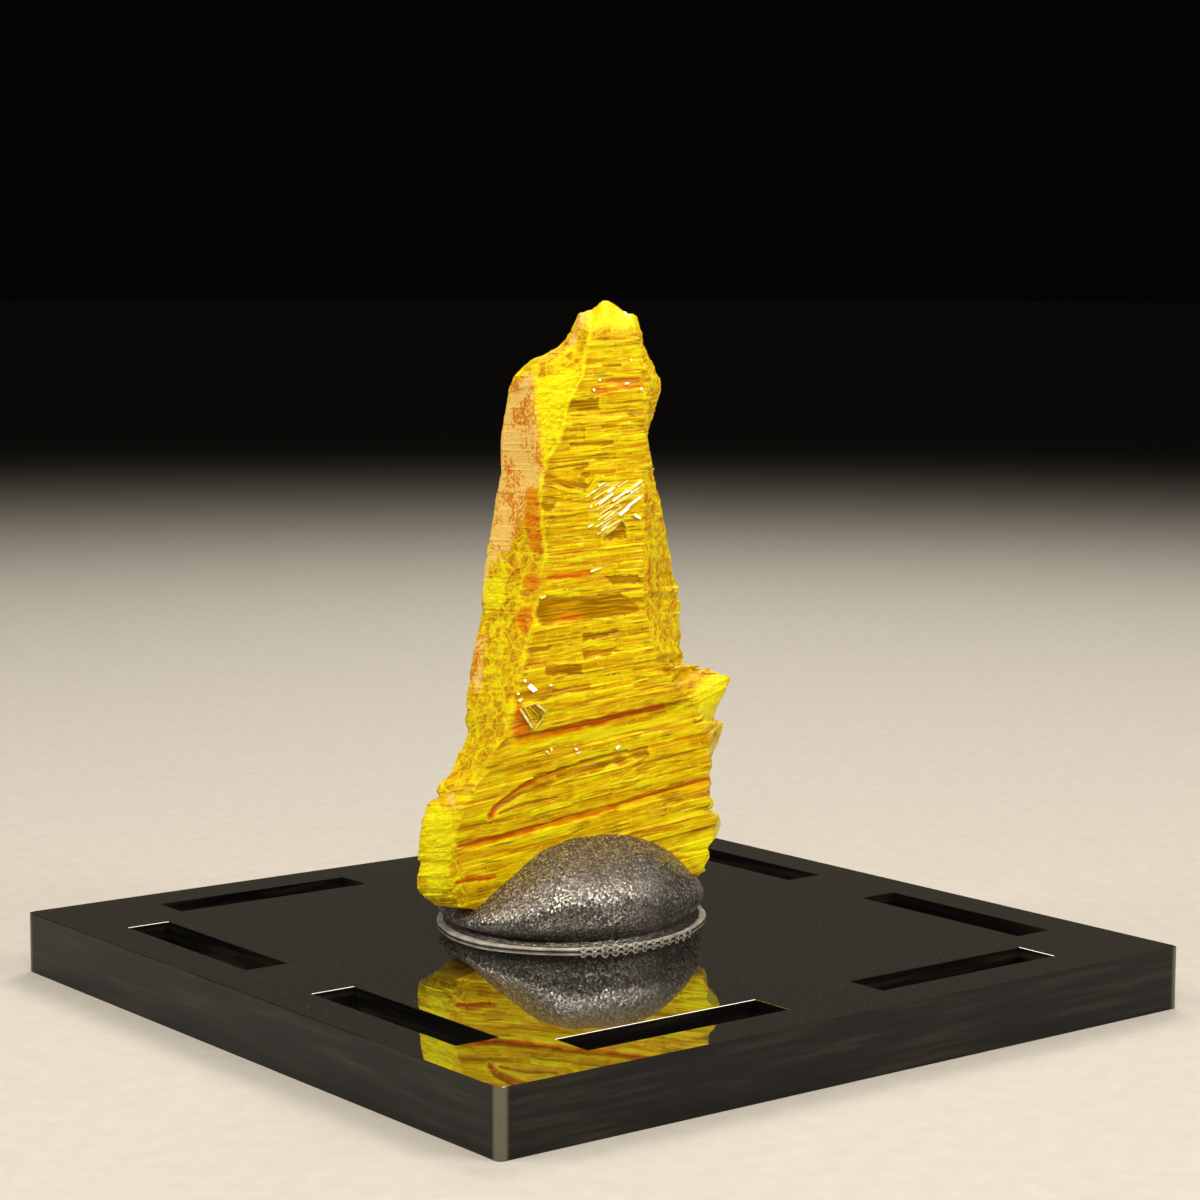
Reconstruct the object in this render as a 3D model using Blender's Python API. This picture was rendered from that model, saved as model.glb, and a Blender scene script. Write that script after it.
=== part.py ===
"""Orpiment specimen pressed into a lump of putty on a black acrylic display plate.

World frame in metres, +Z up, origin at the middle of the plate's underside.
The specimen has a frame of its own: reach runs along its broad face to the right,
depth runs away from that face, and height runs up. Its sizes are written in millimetres.
"""

import math
import random

import bmesh
import bpy
import numpy as np

MM = 0.001

# Display plate: a square cut from 3 mm sheet, with slots for the tabs of a 2 mm hood.
PLATE_SIDE = 40.0
PLATE_THICK = 3.0
PLATE_CORNER = 0.3
SLOT_LENGTH = 11.0
SLOT_WIDTH = 2.2
SLOT_SETBACK = 2.3
SLOT_FROM_CORNER = 6.2

# Glue film under the putty, and the putty's foot on it.
FILM_THICK = 0.15
FILM_LIP = 0.2
SEAT_GAP = 0.03
FOOT_CENTRE = (0.6, 1.9)
FOOT_LONG = 7.4
FOOT_SHORT = 6.4
FOOT_TURN = math.radians(57)

# Putty: its crest along the specimen's face, and how far it bulges past its foot.
PUTTY_CREST = [(-7.4, 3.9), (-5.8, 5.0), (-3.9, 6.3), (-2.5, 7.3), (-1.0, 7.7), (1.8, 7.8), (3.0, 7.6),
               (4.5, 6.9), (5.8, 5.9), (7.4, 4.9)]
PUTTY_CUT = 0.55
PUTTY_SHOULDER = 0.88
PUTTY_BULGE = 1.03
SOCKET_GAP = 0.2

# Specimen: where it stands and how its broad face is turned.
SPECIMEN_PLACE = (-0.3, 0.8)
SPECIMEN_TURN = math.radians(-15.9)

# Rise of the cleavage sheets to the right, against their level at reach 0.
SHEET_RISE = [(3.0, 0.19), (9.0, 0.19), (13.0, 0.15), (15.5, 0.12), (19.0, 0.065), (34.0, 0.065)]

# Upright edge lines of the specimen, bottom to top, as (height, reach, depth).
LEFT_END = [(4.4, 4.7, 0.2), (4.25, 3.0, 0.0), (4.2, 0.0, 0.0), (4.3, -3.0, 0.0), (4.4, -6.5, 0.0),
            (4.7, -7.25, 0.0), (5.2, -7.8, 0.0), (5.7, -7.95, 0.0), (6.65, -7.85, 0.0),
            (7.1, -7.95, 0.0), (8.3, -7.85, 0.0), (9.6, -7.45, 0.1), (9.85, -6.85, 0.2),
            (10.1, -6.95, 0.4), (10.6, -6.2, 0.8), (11.65, -5.5, 1.1), (12.8, -5.0, 1.35),
            (15.0, -4.8, 1.75), (17.7, -4.1, 2.15), (20.5, -3.8, 2.2), (23.0, -3.3, 2.2),
            (25.7, -2.9, 2.1), (29.0, -2.65, 2.0), (29.85, -2.4, 1.9), (30.8, -1.05, 1.8),
            (31.2, -0.1, 1.7), (32.0, 0.45, 1.6), (33.0, 1.05, 1.5), (33.4, 1.85, 1.5)]
RIGHT_END = [(4.6, 5.6, 0.2), (4.9, 6.2, 0.0), (5.35, 6.75, 0.0), (5.75, 7.1, 0.0), (6.55, 7.15, 0.0),
             (6.95, 7.5, 0.0), (7.55, 7.85, 0.0), (8.05, 7.8, 0.0), (8.3, 7.3, 0.0), (8.6, 7.45, 0.1),
             (9.3, 7.4, 0.2), (10.9, 7.5, 0.45), (11.65, 7.95, 0.55), (12.5, 8.3, 0.75),
             (12.7, 7.8, 0.8), (13.0, 7.85, 0.85), (13.7, 8.25, 1.05), (14.5, 8.9, 1.25),
             (14.75, 8.85, 1.3), (15.0, 8.0, 1.4), (15.2, 7.6, 1.5), (15.1, 6.6, 1.6),
             (15.85, 6.7, 1.95), (16.3, 6.45, 1.9), (18.0, 6.45, 1.9), (19.1, 6.35, 1.95),
             (20.7, 5.75, 1.5), (22.7, 5.05, 0.8), (24.2, 4.4, 0.2), (25.2, 4.05, -0.2),
             (26.9, 3.85, 0.2), (28.2, 4.35, 0.4), (29.2, 4.7, 0.5), (29.9, 4.6, 0.6),
             (31.1, 3.95, 0.85), (32.3, 3.85, 1.2), (32.8, 3.6, 1.35), (33.4, 2.5, 1.5)]
LEFT_RIDGE = [(4.4, 4.8, -0.8), (4.25, 3.0, -1.6), (4.2, 0.2, -2.0), (4.3, -2.7, -1.9),
              (4.4, -5.6, -1.0), (4.7, -6.3, -1.1), (5.2, -6.7, -1.3), (6.0, -6.9, -1.4),
              (9.0, -6.5, -1.5), (10.3, -5.8, -1.6), (11.5, -5.0, -1.7), (12.8, -4.4, -1.65),
              (14.8, -3.55, -1.45), (16.4, -3.15, -1.35), (18.15, -2.55, -1.25), (19.9, -2.25, -1.1),
              (21.4, -1.9, -1.05), (22.7, -2.1, -0.95), (24.15, -2.15, -0.9), (25.2, -1.95, -0.85),
              (26.65, -1.3, -0.75), (28.05, -0.8, -0.7), (29.25, -0.45, -0.65), (30.5, 0.2, -0.55),
              (32.0, 0.55, -0.4), (33.35, 1.95, 1.1)]
RIGHT_RIDGE = [(4.6, 5.4, -0.7), (4.9, 5.9, -1.3), (6.0, 6.5, -1.8), (8.0, 6.7, -1.7), (11.0, 6.6, -1.5),
               (13.0, 6.4, -1.3), (14.2, 5.4, -1.35), (15.2, 4.2, -1.4), (17.1, 3.5, -1.3),
               (19.0, 3.2, -1.15), (21.2, 3.4, -1.05), (25.4, 3.4, -0.8), (27.75, 3.3, -0.7),
               (29.7, 3.5, -0.6), (32.1, 3.15, -0.4), (33.35, 2.45, 1.1)]
FLANK_EDGE = [(25.2, -2.1, -0.75), (26.4, -2.1, -0.6), (27.7, -2.2, -0.4), (28.8, -2.3, -0.2),
              (29.7, -2.3, -0.1), (30.8, -1.0, 0.3), (31.2, -0.05, 0.6), (32.5, 0.65, 0.9),
              (33.4, 1.8, 1.3)]
BACK_LEFT = [(4.4, 4.8, 1.2), (4.3, 3.0, 2.2), (4.3, -2.7, 2.6), (4.5, -5.4, 2.6), (5.5, -6.2, 2.9),
             (8.0, -6.0, 3.1), (10.6, -4.7, 3.4), (13.0, -3.5, 3.9), (18.0, -2.8, 4.2),
             (24.0, -2.2, 3.9), (29.0, -1.6, 3.3), (31.0, 0.4, 2.7), (33.4, 1.95, 1.9)]
BACK_RIGHT = [(4.6, 5.4, 1.2), (5.4, 6.0, 3.2), (8.0, 6.4, 3.6), (12.0, 6.5, 4.2), (15.0, 6.0, 4.6),
              (19.0, 5.2, 4.6), (24.0, 3.7, 4.0), (29.0, 3.7, 3.3), (31.0, 3.4, 2.8),
              (33.4, 2.45, 1.9)]
FLANK_SHARE = 0.15
LOWEST_LEVEL = 3.6
HIGHEST_LEVEL = 33.18

# Levels where a ledge shows on the real specimen, and the bands where its face is broken back.
LEDGES = [5.4, 6.65, 8.65, 8.95, 11.25, 13.0, 13.4, 14.19, 15.0, 29.3, 31.2, 32.0, 32.6]
GROOVES = [(8.65, 8.95, 0.16), (13.0, 13.4, 0.3)]
SHEET_THICK = 0.78
SHEET_PARTING = 0.03

# Divisions and roughness of each stretch round a sheet: name, points, broken-edge depth.
STRETCHES = [("face", 9, 0.10), ("right_flank", 4, 0.14), ("right_back", 4, 0.3), ("back", 8, 0.34),
             ("left_back", 4, 0.28), ("left_flank", 4, 0.12), ("wedge", 2, 0.06)]
SEED = 11


def clear_scene():
    for obj in list(bpy.data.objects):
        bpy.data.objects.remove(obj, do_unlink=True)


def new_collection(name):
    collection = bpy.data.collections.new(name)
    bpy.context.scene.collection.children.link(collection)
    return collection


def add_object(name, mesh, collection):
    obj = bpy.data.objects.new(name, mesh)
    collection.objects.link(obj)
    return obj


def mesh_of(name, work):
    mesh = bpy.data.meshes.new(name)
    work.to_mesh(mesh)
    work.free()
    return mesh


def finish(obj, colour, roughness, metallic=0.0, transmission=0.0):
    """Gives the object a plain surface of its own."""
    material = bpy.data.materials.new(obj.name + "_surface")
    material.use_nodes = True
    shader = material.node_tree.nodes["Principled BSDF"]
    shader.inputs["Base Color"].default_value = (*colour, 1.0)
    shader.inputs["Roughness"].default_value = roughness
    shader.inputs["Metallic"].default_value = metallic
    shader.inputs["Transmission Weight"].default_value = transmission
    obj.data.materials.append(material)


def add_box(name, size, centre, collection):
    work = bmesh.new()
    bmesh.ops.create_cube(work, size=1.0)
    bmesh.ops.scale(work, verts=work.verts, vec=size)
    obj = add_object(name, mesh_of(name, work), collection)
    obj.location = centre
    return obj


def hide_cutter(obj):
    obj.hide_render = True
    obj.display_type = "WIRE"


def cut(obj, cutter):
    modifier = obj.modifiers.new("cut_" + cutter.name, "BOOLEAN")
    modifier.operation = "DIFFERENCE"
    modifier.solver = "EXACT"
    modifier.object = cutter


def slot_centres():
    """Two slots along each side: (x, y, lies along x)."""
    half = PLATE_SIDE / 2
    across = half - SLOT_SETBACK - SLOT_WIDTH / 2
    along = half - SLOT_FROM_CORNER - SLOT_LENGTH / 2
    for side in (-1, 1):
        for end in (-1, 1):
            yield end * along, side * across, True
            yield side * across, end * along, False


def build_plate(parts, cutters):
    work = bmesh.new()
    bmesh.ops.create_cube(work, size=1.0)
    bmesh.ops.scale(work, verts=work.verts, vec=(PLATE_SIDE * MM, PLATE_SIDE * MM, PLATE_THICK * MM))
    bmesh.ops.translate(work, verts=work.verts, vec=(0, 0, PLATE_THICK * MM / 2))
    upright = [e for e in work.edges if abs(e.verts[0].co.z - e.verts[1].co.z) > MM]
    bmesh.ops.bevel(work, geom=upright, offset=PLATE_CORNER * MM, segments=3, profile=0.5, affect="EDGES")
    plate = add_object("base_plate", mesh_of("base_plate", work), parts)
    finish(plate, (0.006, 0.006, 0.007), 0.06)
    for number, (x, y, along_x) in enumerate(slot_centres()):
        length, width = SLOT_LENGTH * MM, SLOT_WIDTH * MM
        size = (length, width, 2 * PLATE_THICK * MM) if along_x else (width, length, 2 * PLATE_THICK * MM)
        cutter = add_box(f"slot_{number}", size, (x * MM, y * MM, PLATE_THICK * MM / 2), cutters)
        hide_cutter(cutter)
        cut(plate, cutter)


def foot_point(angle, grow=1.0, lip=0.0):
    """A point of the putty's oval foot in the specimen's frame, in millimetres."""
    along = (FOOT_LONG * grow + lip) * math.cos(angle)
    across = (FOOT_SHORT * grow + lip) * math.sin(angle)
    turn_cos, turn_sin = math.cos(FOOT_TURN), math.sin(FOOT_TURN)
    return (FOOT_CENTRE[0] + along * turn_cos - across * turn_sin,
            FOOT_CENTRE[1] + along * turn_sin + across * turn_cos)


def place_in_specimen_frame(obj):
    obj.location = (SPECIMEN_PLACE[0] * MM, SPECIMEN_PLACE[1] * MM, 0)
    obj.rotation_euler = (0, 0, SPECIMEN_TURN)


def build_film(parts):
    work = bmesh.new()
    bmesh.ops.create_cone(work, cap_ends=True, segments=64, radius1=1.0, radius2=1.0, depth=1.0)
    low = PLATE_THICK + SEAT_GAP
    for vert in work.verts:
        reach, depth = foot_point(math.atan2(vert.co.y, vert.co.x), lip=FILM_LIP)
        height = low + (FILM_THICK if vert.co.z > 0 else 0.0)
        vert.co = (reach * MM, depth * MM, height * MM)
    film = add_object("glue_film", mesh_of("glue_film", work), parts)
    place_in_specimen_frame(film)
    finish(film, (0.62, 0.62, 0.60), 0.15, transmission=0.6)


def build_putty(parts, socket):
    work = bmesh.new()
    bmesh.ops.create_uvsphere(work, u_segments=40, v_segments=22, radius=1.0)
    low = PLATE_THICK + SEAT_GAP + FILM_THICK + SEAT_GAP
    waist = math.sqrt(1 - PUTTY_CUT ** 2)
    for vert in work.verts:
        angle = math.atan2(vert.co.y, vert.co.x)
        spread = math.hypot(vert.co.x, vert.co.y)
        rise = max(vert.co.z + PUTTY_CUT, 0.0) / (1 + PUTTY_CUT)
        if rise == 0.0:
            spread = min(spread / waist, 1.0)
        else:
            spread *= PUTTY_BULGE
        rim = foot_point(angle)
        reach = FOOT_CENTRE[0] + spread * (rim[0] - FOOT_CENTRE[0])
        depth = FOOT_CENTRE[1] + spread * (rim[1] - FOOT_CENTRE[1])
        crest = np.interp(reach, *zip(*PUTTY_CREST))
        height = low + (crest - low) / PUTTY_SHOULDER * rise
        vert.co = (reach * MM, depth * MM, height * MM)
    bmesh.ops.remove_doubles(work, verts=work.verts, dist=1e-7)
    putty = add_object("putty", mesh_of("putty", work), parts)
    putty.data.shade_smooth()
    place_in_specimen_frame(putty)
    finish(putty, (0.05, 0.05, 0.052), 0.38, metallic=0.55)
    cut(putty, socket)


def sheet_rise(level):
    return float(np.interp(level, *zip(*SHEET_RISE)))


def level_at(height, reach):
    """The level of the cleavage sheet that passes through a point."""
    level = height
    for _ in range(25):
        level = height - sheet_rise(level) * reach
    return level


def by_level(edge_line):
    """An edge line as rising levels with the reach and depth at each."""
    rows = sorted((level_at(height, reach), reach, depth) for height, reach, depth in edge_line)
    return np.array(rows).T


class SpecimenForm:
    """The outline of the specimen at any sheet level."""

    def __init__(self):
        self.lines = {
            "left": by_level(LEFT_END),
            "right": by_level(RIGHT_END),
            "left_ridge": by_level(LEFT_RIDGE),
            "right_ridge": by_level(RIGHT_RIDGE),
            "flank_edge": by_level(FLANK_EDGE),
            "back_left": by_level(BACK_LEFT),
            "back_right": by_level(BACK_RIGHT),
        }

    def corner(self, name, level):
        levels, reach, depth = self.lines[name]
        return np.array([np.interp(level, levels, reach), np.interp(level, levels, depth)])

    def corners(self, level):
        """The seven corners round the outline, from the left ridge of the face to the right."""
        left, ridge = self.corner("left", level), self.corner("left_ridge", level)
        flank = ridge + FLANK_SHARE * (left - ridge)
        if level > self.lines["flank_edge"][0][0]:
            flank = self.corner("flank_edge", level)
        return [ridge, self.corner("right_ridge", level), self.corner("right", level),
                self.corner("back_right", level), self.corner("back_left", level), left, flank]

    def ring(self, level):
        """Points round the outline, with the roughness of the stretch that each is on."""
        corners = self.corners(level)
        points, roughness = [], []
        for number, (_, count, rough) in enumerate(STRETCHES):
            start, end = corners[number], corners[(number + 1) % len(corners)]
            for step in range(count):
                points.append(start + (end - start) * step / count)
                roughness.append(rough)
        return np.array(points), np.array(roughness)


def outward(points):
    """Unit directions that point out of a ring whose points run anticlockwise."""
    along = np.roll(points, -1, axis=0) - np.roll(points, 1, axis=0)
    normal = np.stack([along[:, 1], -along[:, 0]], axis=1)
    return normal / np.maximum(np.linalg.norm(normal, axis=1, keepdims=True), 1e-9)


def sheet_levels(chance):
    """Level pairs (bottom, top) of the sheets, thin ones between the ledges that show."""
    stops = [LOWEST_LEVEL, *LEDGES, HIGHEST_LEVEL]
    for low, high in zip(stops, stops[1:]):
        count = max(1, round((high - low) / SHEET_THICK))
        cuts = [low + (high - low) * (k + (chance.uniform(-0.3, 0.3) if 0 < k < count else 0)) / count
                for k in range(count + 1)]
        for bottom, top in zip(cuts, cuts[1:]):
            yield bottom + SHEET_PARTING / 2, top - SHEET_PARTING / 2


def groove_depth(level):
    return sum(depth for low, high, depth in GROOVES if low < level < high)


def loft(name, rings):
    """One closed solid through rings of (reach, depth, height) rows in millimetres."""
    work = bmesh.new()
    rows = [[work.verts.new(point * MM) for point in ring] for ring in rings]
    count = len(rows[0])
    for below, above in zip(rows, rows[1:]):
        for k in range(count):
            work.faces.new((below[k], below[(k + 1) % count], above[(k + 1) % count], above[k]))
    work.faces.new(list(reversed(rows[0])))
    work.faces.new(rows[-1])
    return mesh_of(name, work)


def lifted(points, level):
    heights = level + sheet_rise(level) * points[:, 0]
    return np.column_stack([points, heights])


def build_specimen(parts, form):
    chance = random.Random(SEED)
    rings = []
    for bottom, top in sheet_levels(chance):
        step = chance.uniform(-1, 1)
        sway = chance.uniform(-0.8, 0.8)
        phase = chance.uniform(0, 2 * math.pi)
        for level in (bottom, top):
            points, roughness = form.ring(level)
            turns = np.linspace(0, 2 * math.pi, len(points), endpoint=False)
            out = roughness * (step + sway * np.sin(2 * turns + phase)) * 0.6
            out[1:STRETCHES[0][1]] -= groove_depth(level)
            rings.append(lifted(points + outward(points) * out[:, None], level))
    specimen = add_object("orpiment", loft("orpiment", rings), parts)
    place_in_specimen_frame(specimen)
    finish(specimen, (0.78, 0.48, 0.01), 0.4)


def build_socket(cutters, form):
    """The hollow that the specimen's foot leaves in the putty."""
    levels = [LOWEST_LEVEL + k * 0.9 for k in range(9)]
    rings = []
    for number, level in enumerate(levels):
        points, _ = form.ring(level)
        grown = lifted(points + outward(points) * SOCKET_GAP, level)
        if number == 0:
            grown[:, 2] -= SOCKET_GAP
        rings.append(grown)
    socket = add_object("socket", loft("socket", rings), cutters)
    place_in_specimen_frame(socket)
    hide_cutter(socket)
    return socket


def main():
    clear_scene()
    parts = new_collection("orpiment_specimen")
    cutters = new_collection("cutters")
    form = SpecimenForm()
    build_plate(parts, cutters)
    build_film(parts)
    build_putty(parts, build_socket(cutters, form))
    build_specimen(parts, form)


main()
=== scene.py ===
"""Looks of an orpiment specimen, pressed into grey putty on a black acrylic display plate.

Sizes are in millimetres up to the point where a mesh is written, and the row frame is the plate's:
+Z up, origin at the middle of its underside. The specimen has a frame of its own, in which reach
runs along its broad face to the right, depth runs away from that face and height runs up.
Places on the specimen that come from the photograph are in pixels of its 1200 x 1200 frame.
"""

import logging
import math
from dataclasses import dataclass, field
from enum import Enum

import bpy
import numpy as np
from mathutils import Matrix, Vector
from mathutils.bvhtree import BVHTree


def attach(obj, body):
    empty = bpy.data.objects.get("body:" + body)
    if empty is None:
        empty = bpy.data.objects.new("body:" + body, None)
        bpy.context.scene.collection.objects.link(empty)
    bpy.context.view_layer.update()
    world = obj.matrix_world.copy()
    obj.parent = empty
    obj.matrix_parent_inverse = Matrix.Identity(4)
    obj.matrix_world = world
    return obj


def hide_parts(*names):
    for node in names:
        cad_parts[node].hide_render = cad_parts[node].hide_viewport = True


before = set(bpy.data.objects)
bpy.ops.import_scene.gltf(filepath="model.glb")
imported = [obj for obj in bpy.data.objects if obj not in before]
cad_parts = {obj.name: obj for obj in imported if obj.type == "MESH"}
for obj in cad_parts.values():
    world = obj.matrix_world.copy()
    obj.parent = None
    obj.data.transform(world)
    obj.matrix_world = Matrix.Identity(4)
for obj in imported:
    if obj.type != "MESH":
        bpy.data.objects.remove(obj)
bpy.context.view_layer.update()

MM = 0.001
BODY = "root"
LOG = logging.getLogger("orpiment_specimen")

Pixel = tuple[float, float]
Numbers = np.ndarray


def linear(colour: str) -> tuple[float, float, float, float]:
    """Turns an sRGB hex colour into the linear numbers that a shader takes.

    Args:
        colour: six hex digits after a hash sign.

    Returns:
        Red, green, blue and a full alpha.
    """
    parts = [int(colour[k:k + 2], 16) / 255 for k in (1, 3, 5)]
    red, green, blue = [c / 12.92 if c <= 0.04045 else ((c + 0.055) / 1.055) ** 2.4 for c in parts]
    return red, green, blue, 1.0


def add_node(tree: bpy.types.NodeTree, kind: str, settings: dict | None = None,
             links: dict | None = None) -> bpy.types.Node:
    """Adds one shader node.

    Args:
        tree: the node tree of a material.
        kind: the node's class name after "ShaderNode".
        settings: values by the name of a setting, or by the name or number of an input. Under
            "stops" stand the places and hex colours of a colour ramp.
        links: output sockets by the name or number of the input that they feed.

    Returns:
        The new node.
    """
    node = tree.nodes.new("ShaderNode" + kind)
    for name, value in (settings or {}).items():
        if name == "stops":
            elements = node.color_ramp.elements
            while len(elements) < len(value):
                elements.new(0.5)
            for element, (place, colour) in zip(elements, value):
                element.position = place
                element.color = linear(colour)
        elif isinstance(name, int) or name in node.inputs:
            node.inputs[name].default_value = value
        else:
            setattr(node, name, value)
    for name, socket in (links or {}).items():
        tree.links.new(socket, node.inputs[name])
    return node


def new_material(name: str, shader: dict) -> tuple[bpy.types.Material, bpy.types.NodeTree, bpy.types.Node]:
    """Starts a material with one Principled shader.

    Args:
        name: the real material and how its surface was made.
        shader: values of the shader's own sockets.

    Returns:
        The material, its node tree and its shader.
    """
    material = bpy.data.materials.new(name)
    material.use_nodes = True
    tree = material.node_tree
    principled = tree.nodes["Principled BSDF"]
    for socket, value in shader.items():
        principled.inputs[socket].default_value = value
    return material, tree, principled


def scatter(seed: int, *keys: Numbers) -> Numbers:
    """Gives even random numbers from 0 to 1 that depend only on whole-number keys."""
    value = np.full(np.shape(keys[0]), (seed * 0x9E3779B97F4A7C15 + 0x1234567) % 2**64, np.uint64)
    for key in keys:
        mixed = np.asarray(key).astype(np.int64).astype(np.uint64)
        value = (value ^ (mixed + (value << np.uint64(6)) + (value >> np.uint64(2))))
        value = value * np.uint64(0xBF58476D1CE4E5B9)
        value = value ^ (value >> np.uint64(31))
        value = value * np.uint64(0x94D049BB133111EB)
        value = value ^ (value >> np.uint64(29))
    return (value >> np.uint64(11)).astype(float) / 2**53


def cloud(across: Numbers, up: Numbers, seed: int) -> Numbers:
    """Gives smooth noise from -1 to 1 whose bumps are about one unit wide."""
    column, row = np.floor(across), np.floor(up)
    right, top = across - column, up - row
    right, top = right * right * (3 - 2 * right), top * top * (3 - 2 * top)
    low = scatter(seed, column, row) * (1 - right) + scatter(seed, column + 1, row) * right
    high = scatter(seed, column, row + 1) * (1 - right) + scatter(seed, column + 1, row + 1) * right
    return 2 * (low * (1 - top) + high * top) - 1


def ease(low: float, high: float, value: Numbers) -> Numbers:
    """Rises smoothly from 0 at low to 1 at high."""
    share = np.clip((value - low) / (high - low), 0, 1)
    return share * share * (3 - 2 * share)


def blur(values: Numbers, rows: int, columns: int) -> Numbers:
    """Averages a grid over some rows and columns each way. The columns go round a ring."""
    total = np.zeros_like(values)
    for step in range(-columns, columns + 1):
        total += np.roll(values, step, axis=1)
    total /= 2 * columns + 1
    padded = np.pad(total, ((rows, rows), (0, 0)), mode="edge")
    sums = np.cumsum(np.vstack([np.zeros((1, values.shape[1])), padded]), axis=0)
    return (sums[2 * rows + 1:] - sums[:-2 * rows - 1]) / (2 * rows + 1)


def deselect() -> None:
    """Leaves edit mode's reach empty: the frame's nodes and old pieces stay selected otherwise."""
    bpy.ops.object.select_all(action="DESELECT")


def finish_piece(piece: bpy.types.Object, name: str, material: bpy.types.Material,
                 stands_for: str | None = None) -> bpy.types.Object:
    """Names a piece, writes its place into its mesh, dresses it and joins it to the frame.

    Args:
        piece: the modelled object.
        name: the piece's name.
        material: its finish.
        stands_for: the CAD node that it replaces, if it does.

    Returns:
        The same object.
    """
    deselect()
    piece.select_set(True)
    bpy.context.view_layer.objects.active = piece
    bpy.ops.object.transform_apply(location=True, rotation=True, scale=True)
    piece.name = name
    piece.data.name = name
    piece.data.materials.clear()
    piece.data.materials.append(material)
    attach(piece, BODY)
    if stands_for:
        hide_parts(stands_for)
    LOG.info("%s: %d faces", name, len(piece.data.polygons))
    return piece


def apply_modifier(piece: bpy.types.Object, kind: str, **settings: object) -> None:
    """Adds a modifier, gives it its settings and applies it."""
    modifier = piece.modifiers.new(kind.lower(), kind)
    for name, value in settings.items():
        setattr(modifier, name, value)
    bpy.context.view_layer.objects.active = piece
    bpy.ops.object.modifier_apply(modifier=modifier.name)


def join(pieces: list[bpy.types.Object]) -> bpy.types.Object:
    """Joins copies into one object, the first of them."""
    deselect()
    for piece in pieces:
        piece.select_set(True)
    bpy.context.view_layer.objects.active = pieces[0]
    bpy.ops.object.join()
    return pieces[0]


def copy_with_mesh(piece: bpy.types.Object, place: Matrix) -> bpy.types.Object:
    """Copies an object together with its mesh and puts the copy in place."""
    twin = piece.copy()
    twin.data = piece.data.copy()
    twin.matrix_world = place
    bpy.context.scene.collection.objects.link(twin)
    return twin


@dataclass(frozen=True)
class PhotoCamera:
    """The camera at the photograph's place. Lengths are in millimetres, turns in degrees."""

    place: tuple[float, float, float] = (-84.245, -108.325, 34.036)
    heading: float = -38.07
    downward: float = 6.198
    roll: float = 0.165
    lens: float = 85.96
    sensor: float = 36.0
    picture: int = 1200

    def turn(self) -> Matrix:
        """Returns the camera's rotation: it looks along its own -Z."""
        upright = Matrix.Rotation(math.radians(90 - self.downward), 3, "X")
        return (Matrix.Rotation(math.radians(self.heading), 3, "Z") @ upright
                @ Matrix.Rotation(math.radians(self.roll), 3, "Z"))

    def focal(self) -> float:
        """Returns the focal length in pixels."""
        return self.lens / self.sensor * self.picture

    def pixels(self, points: Numbers) -> Numbers:
        """Projects points.

        Args:
            points: rows of x, y and z in millimetres, in the row frame.

        Returns:
            Rows of pixel x and y in the photograph's frame.
        """
        local = (points - np.array(self.place)) @ np.array(self.turn())
        half = self.picture / 2
        return np.stack([half - self.focal() * local[..., 0] / local[..., 2],
                         half + self.focal() * local[..., 1] / local[..., 2]], axis=-1)

    def ray(self, pixel: Pixel) -> tuple[Vector, Vector]:
        """Returns the start and direction of the line of sight through a pixel."""
        half = self.picture / 2
        local = Vector(((pixel[0] - half) / self.focal(), (half - pixel[1]) / self.focal(), -1.0))
        return Vector(self.place), (self.turn() @ local).normalized()

    def build(self) -> None:
        """Adds the camera and makes it the scene's."""
        data = bpy.data.cameras.new("photo_camera")
        data.lens = self.lens
        data.sensor_width = self.sensor
        data.clip_start = 0.01
        data.clip_end = 100.0
        camera = bpy.data.objects.new("photo_camera", data)
        camera.matrix_world = Matrix.Translation(Vector(self.place) * MM) @ self.turn().to_4x4()
        bpy.context.scene.collection.objects.link(camera)
        bpy.context.scene.camera = camera


CAMERA = PhotoCamera()


@dataclass(frozen=True)
class Softbox:
    """A square studio light. Its bearing is turned from the camera's side, positive to the right."""

    name: str
    bearing: float
    rise: float
    distance: float
    side: float
    power: float
    colour: str = "#FFF6E8"
    aim: tuple[float, float, float] = (0.0, 0.0, 14.0)

    def direction(self) -> Vector:
        """Returns the direction from the specimen to the light."""
        around = math.radians(self.bearing) + math.atan2(CAMERA.place[1], CAMERA.place[0])
        up = math.radians(self.rise)
        return Vector((math.cos(up) * math.cos(around), math.cos(up) * math.sin(around), math.sin(up)))

    def build(self) -> None:
        """Adds the light, turned to what it lights."""
        data = bpy.data.lights.new(self.name, "AREA")
        data.shape = "SQUARE"
        data.size = self.side * MM
        data.energy = self.power
        data.color = linear(self.colour)[:3]
        light = bpy.data.objects.new(self.name, data)
        turn = (-self.direction()).to_track_quat("-Z", "Y")
        place = (Vector(self.aim) + self.direction() * self.distance) * MM
        light.matrix_world = Matrix.Translation(place) @ turn.to_matrix().to_4x4()
        bpy.context.scene.collection.objects.link(light)


KEY_LIGHT = Softbox("key_softbox", 0, 46, 260, 120, 0.42)


def flash_way() -> Vector:
    """Returns the way that a clear facet faces where it mirrors the key light to the camera."""
    towards = (Vector(CAMERA.place) - Vector(KEY_LIGHT.aim)).normalized()
    return (towards + KEY_LIGHT.direction()).normalized()


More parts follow.
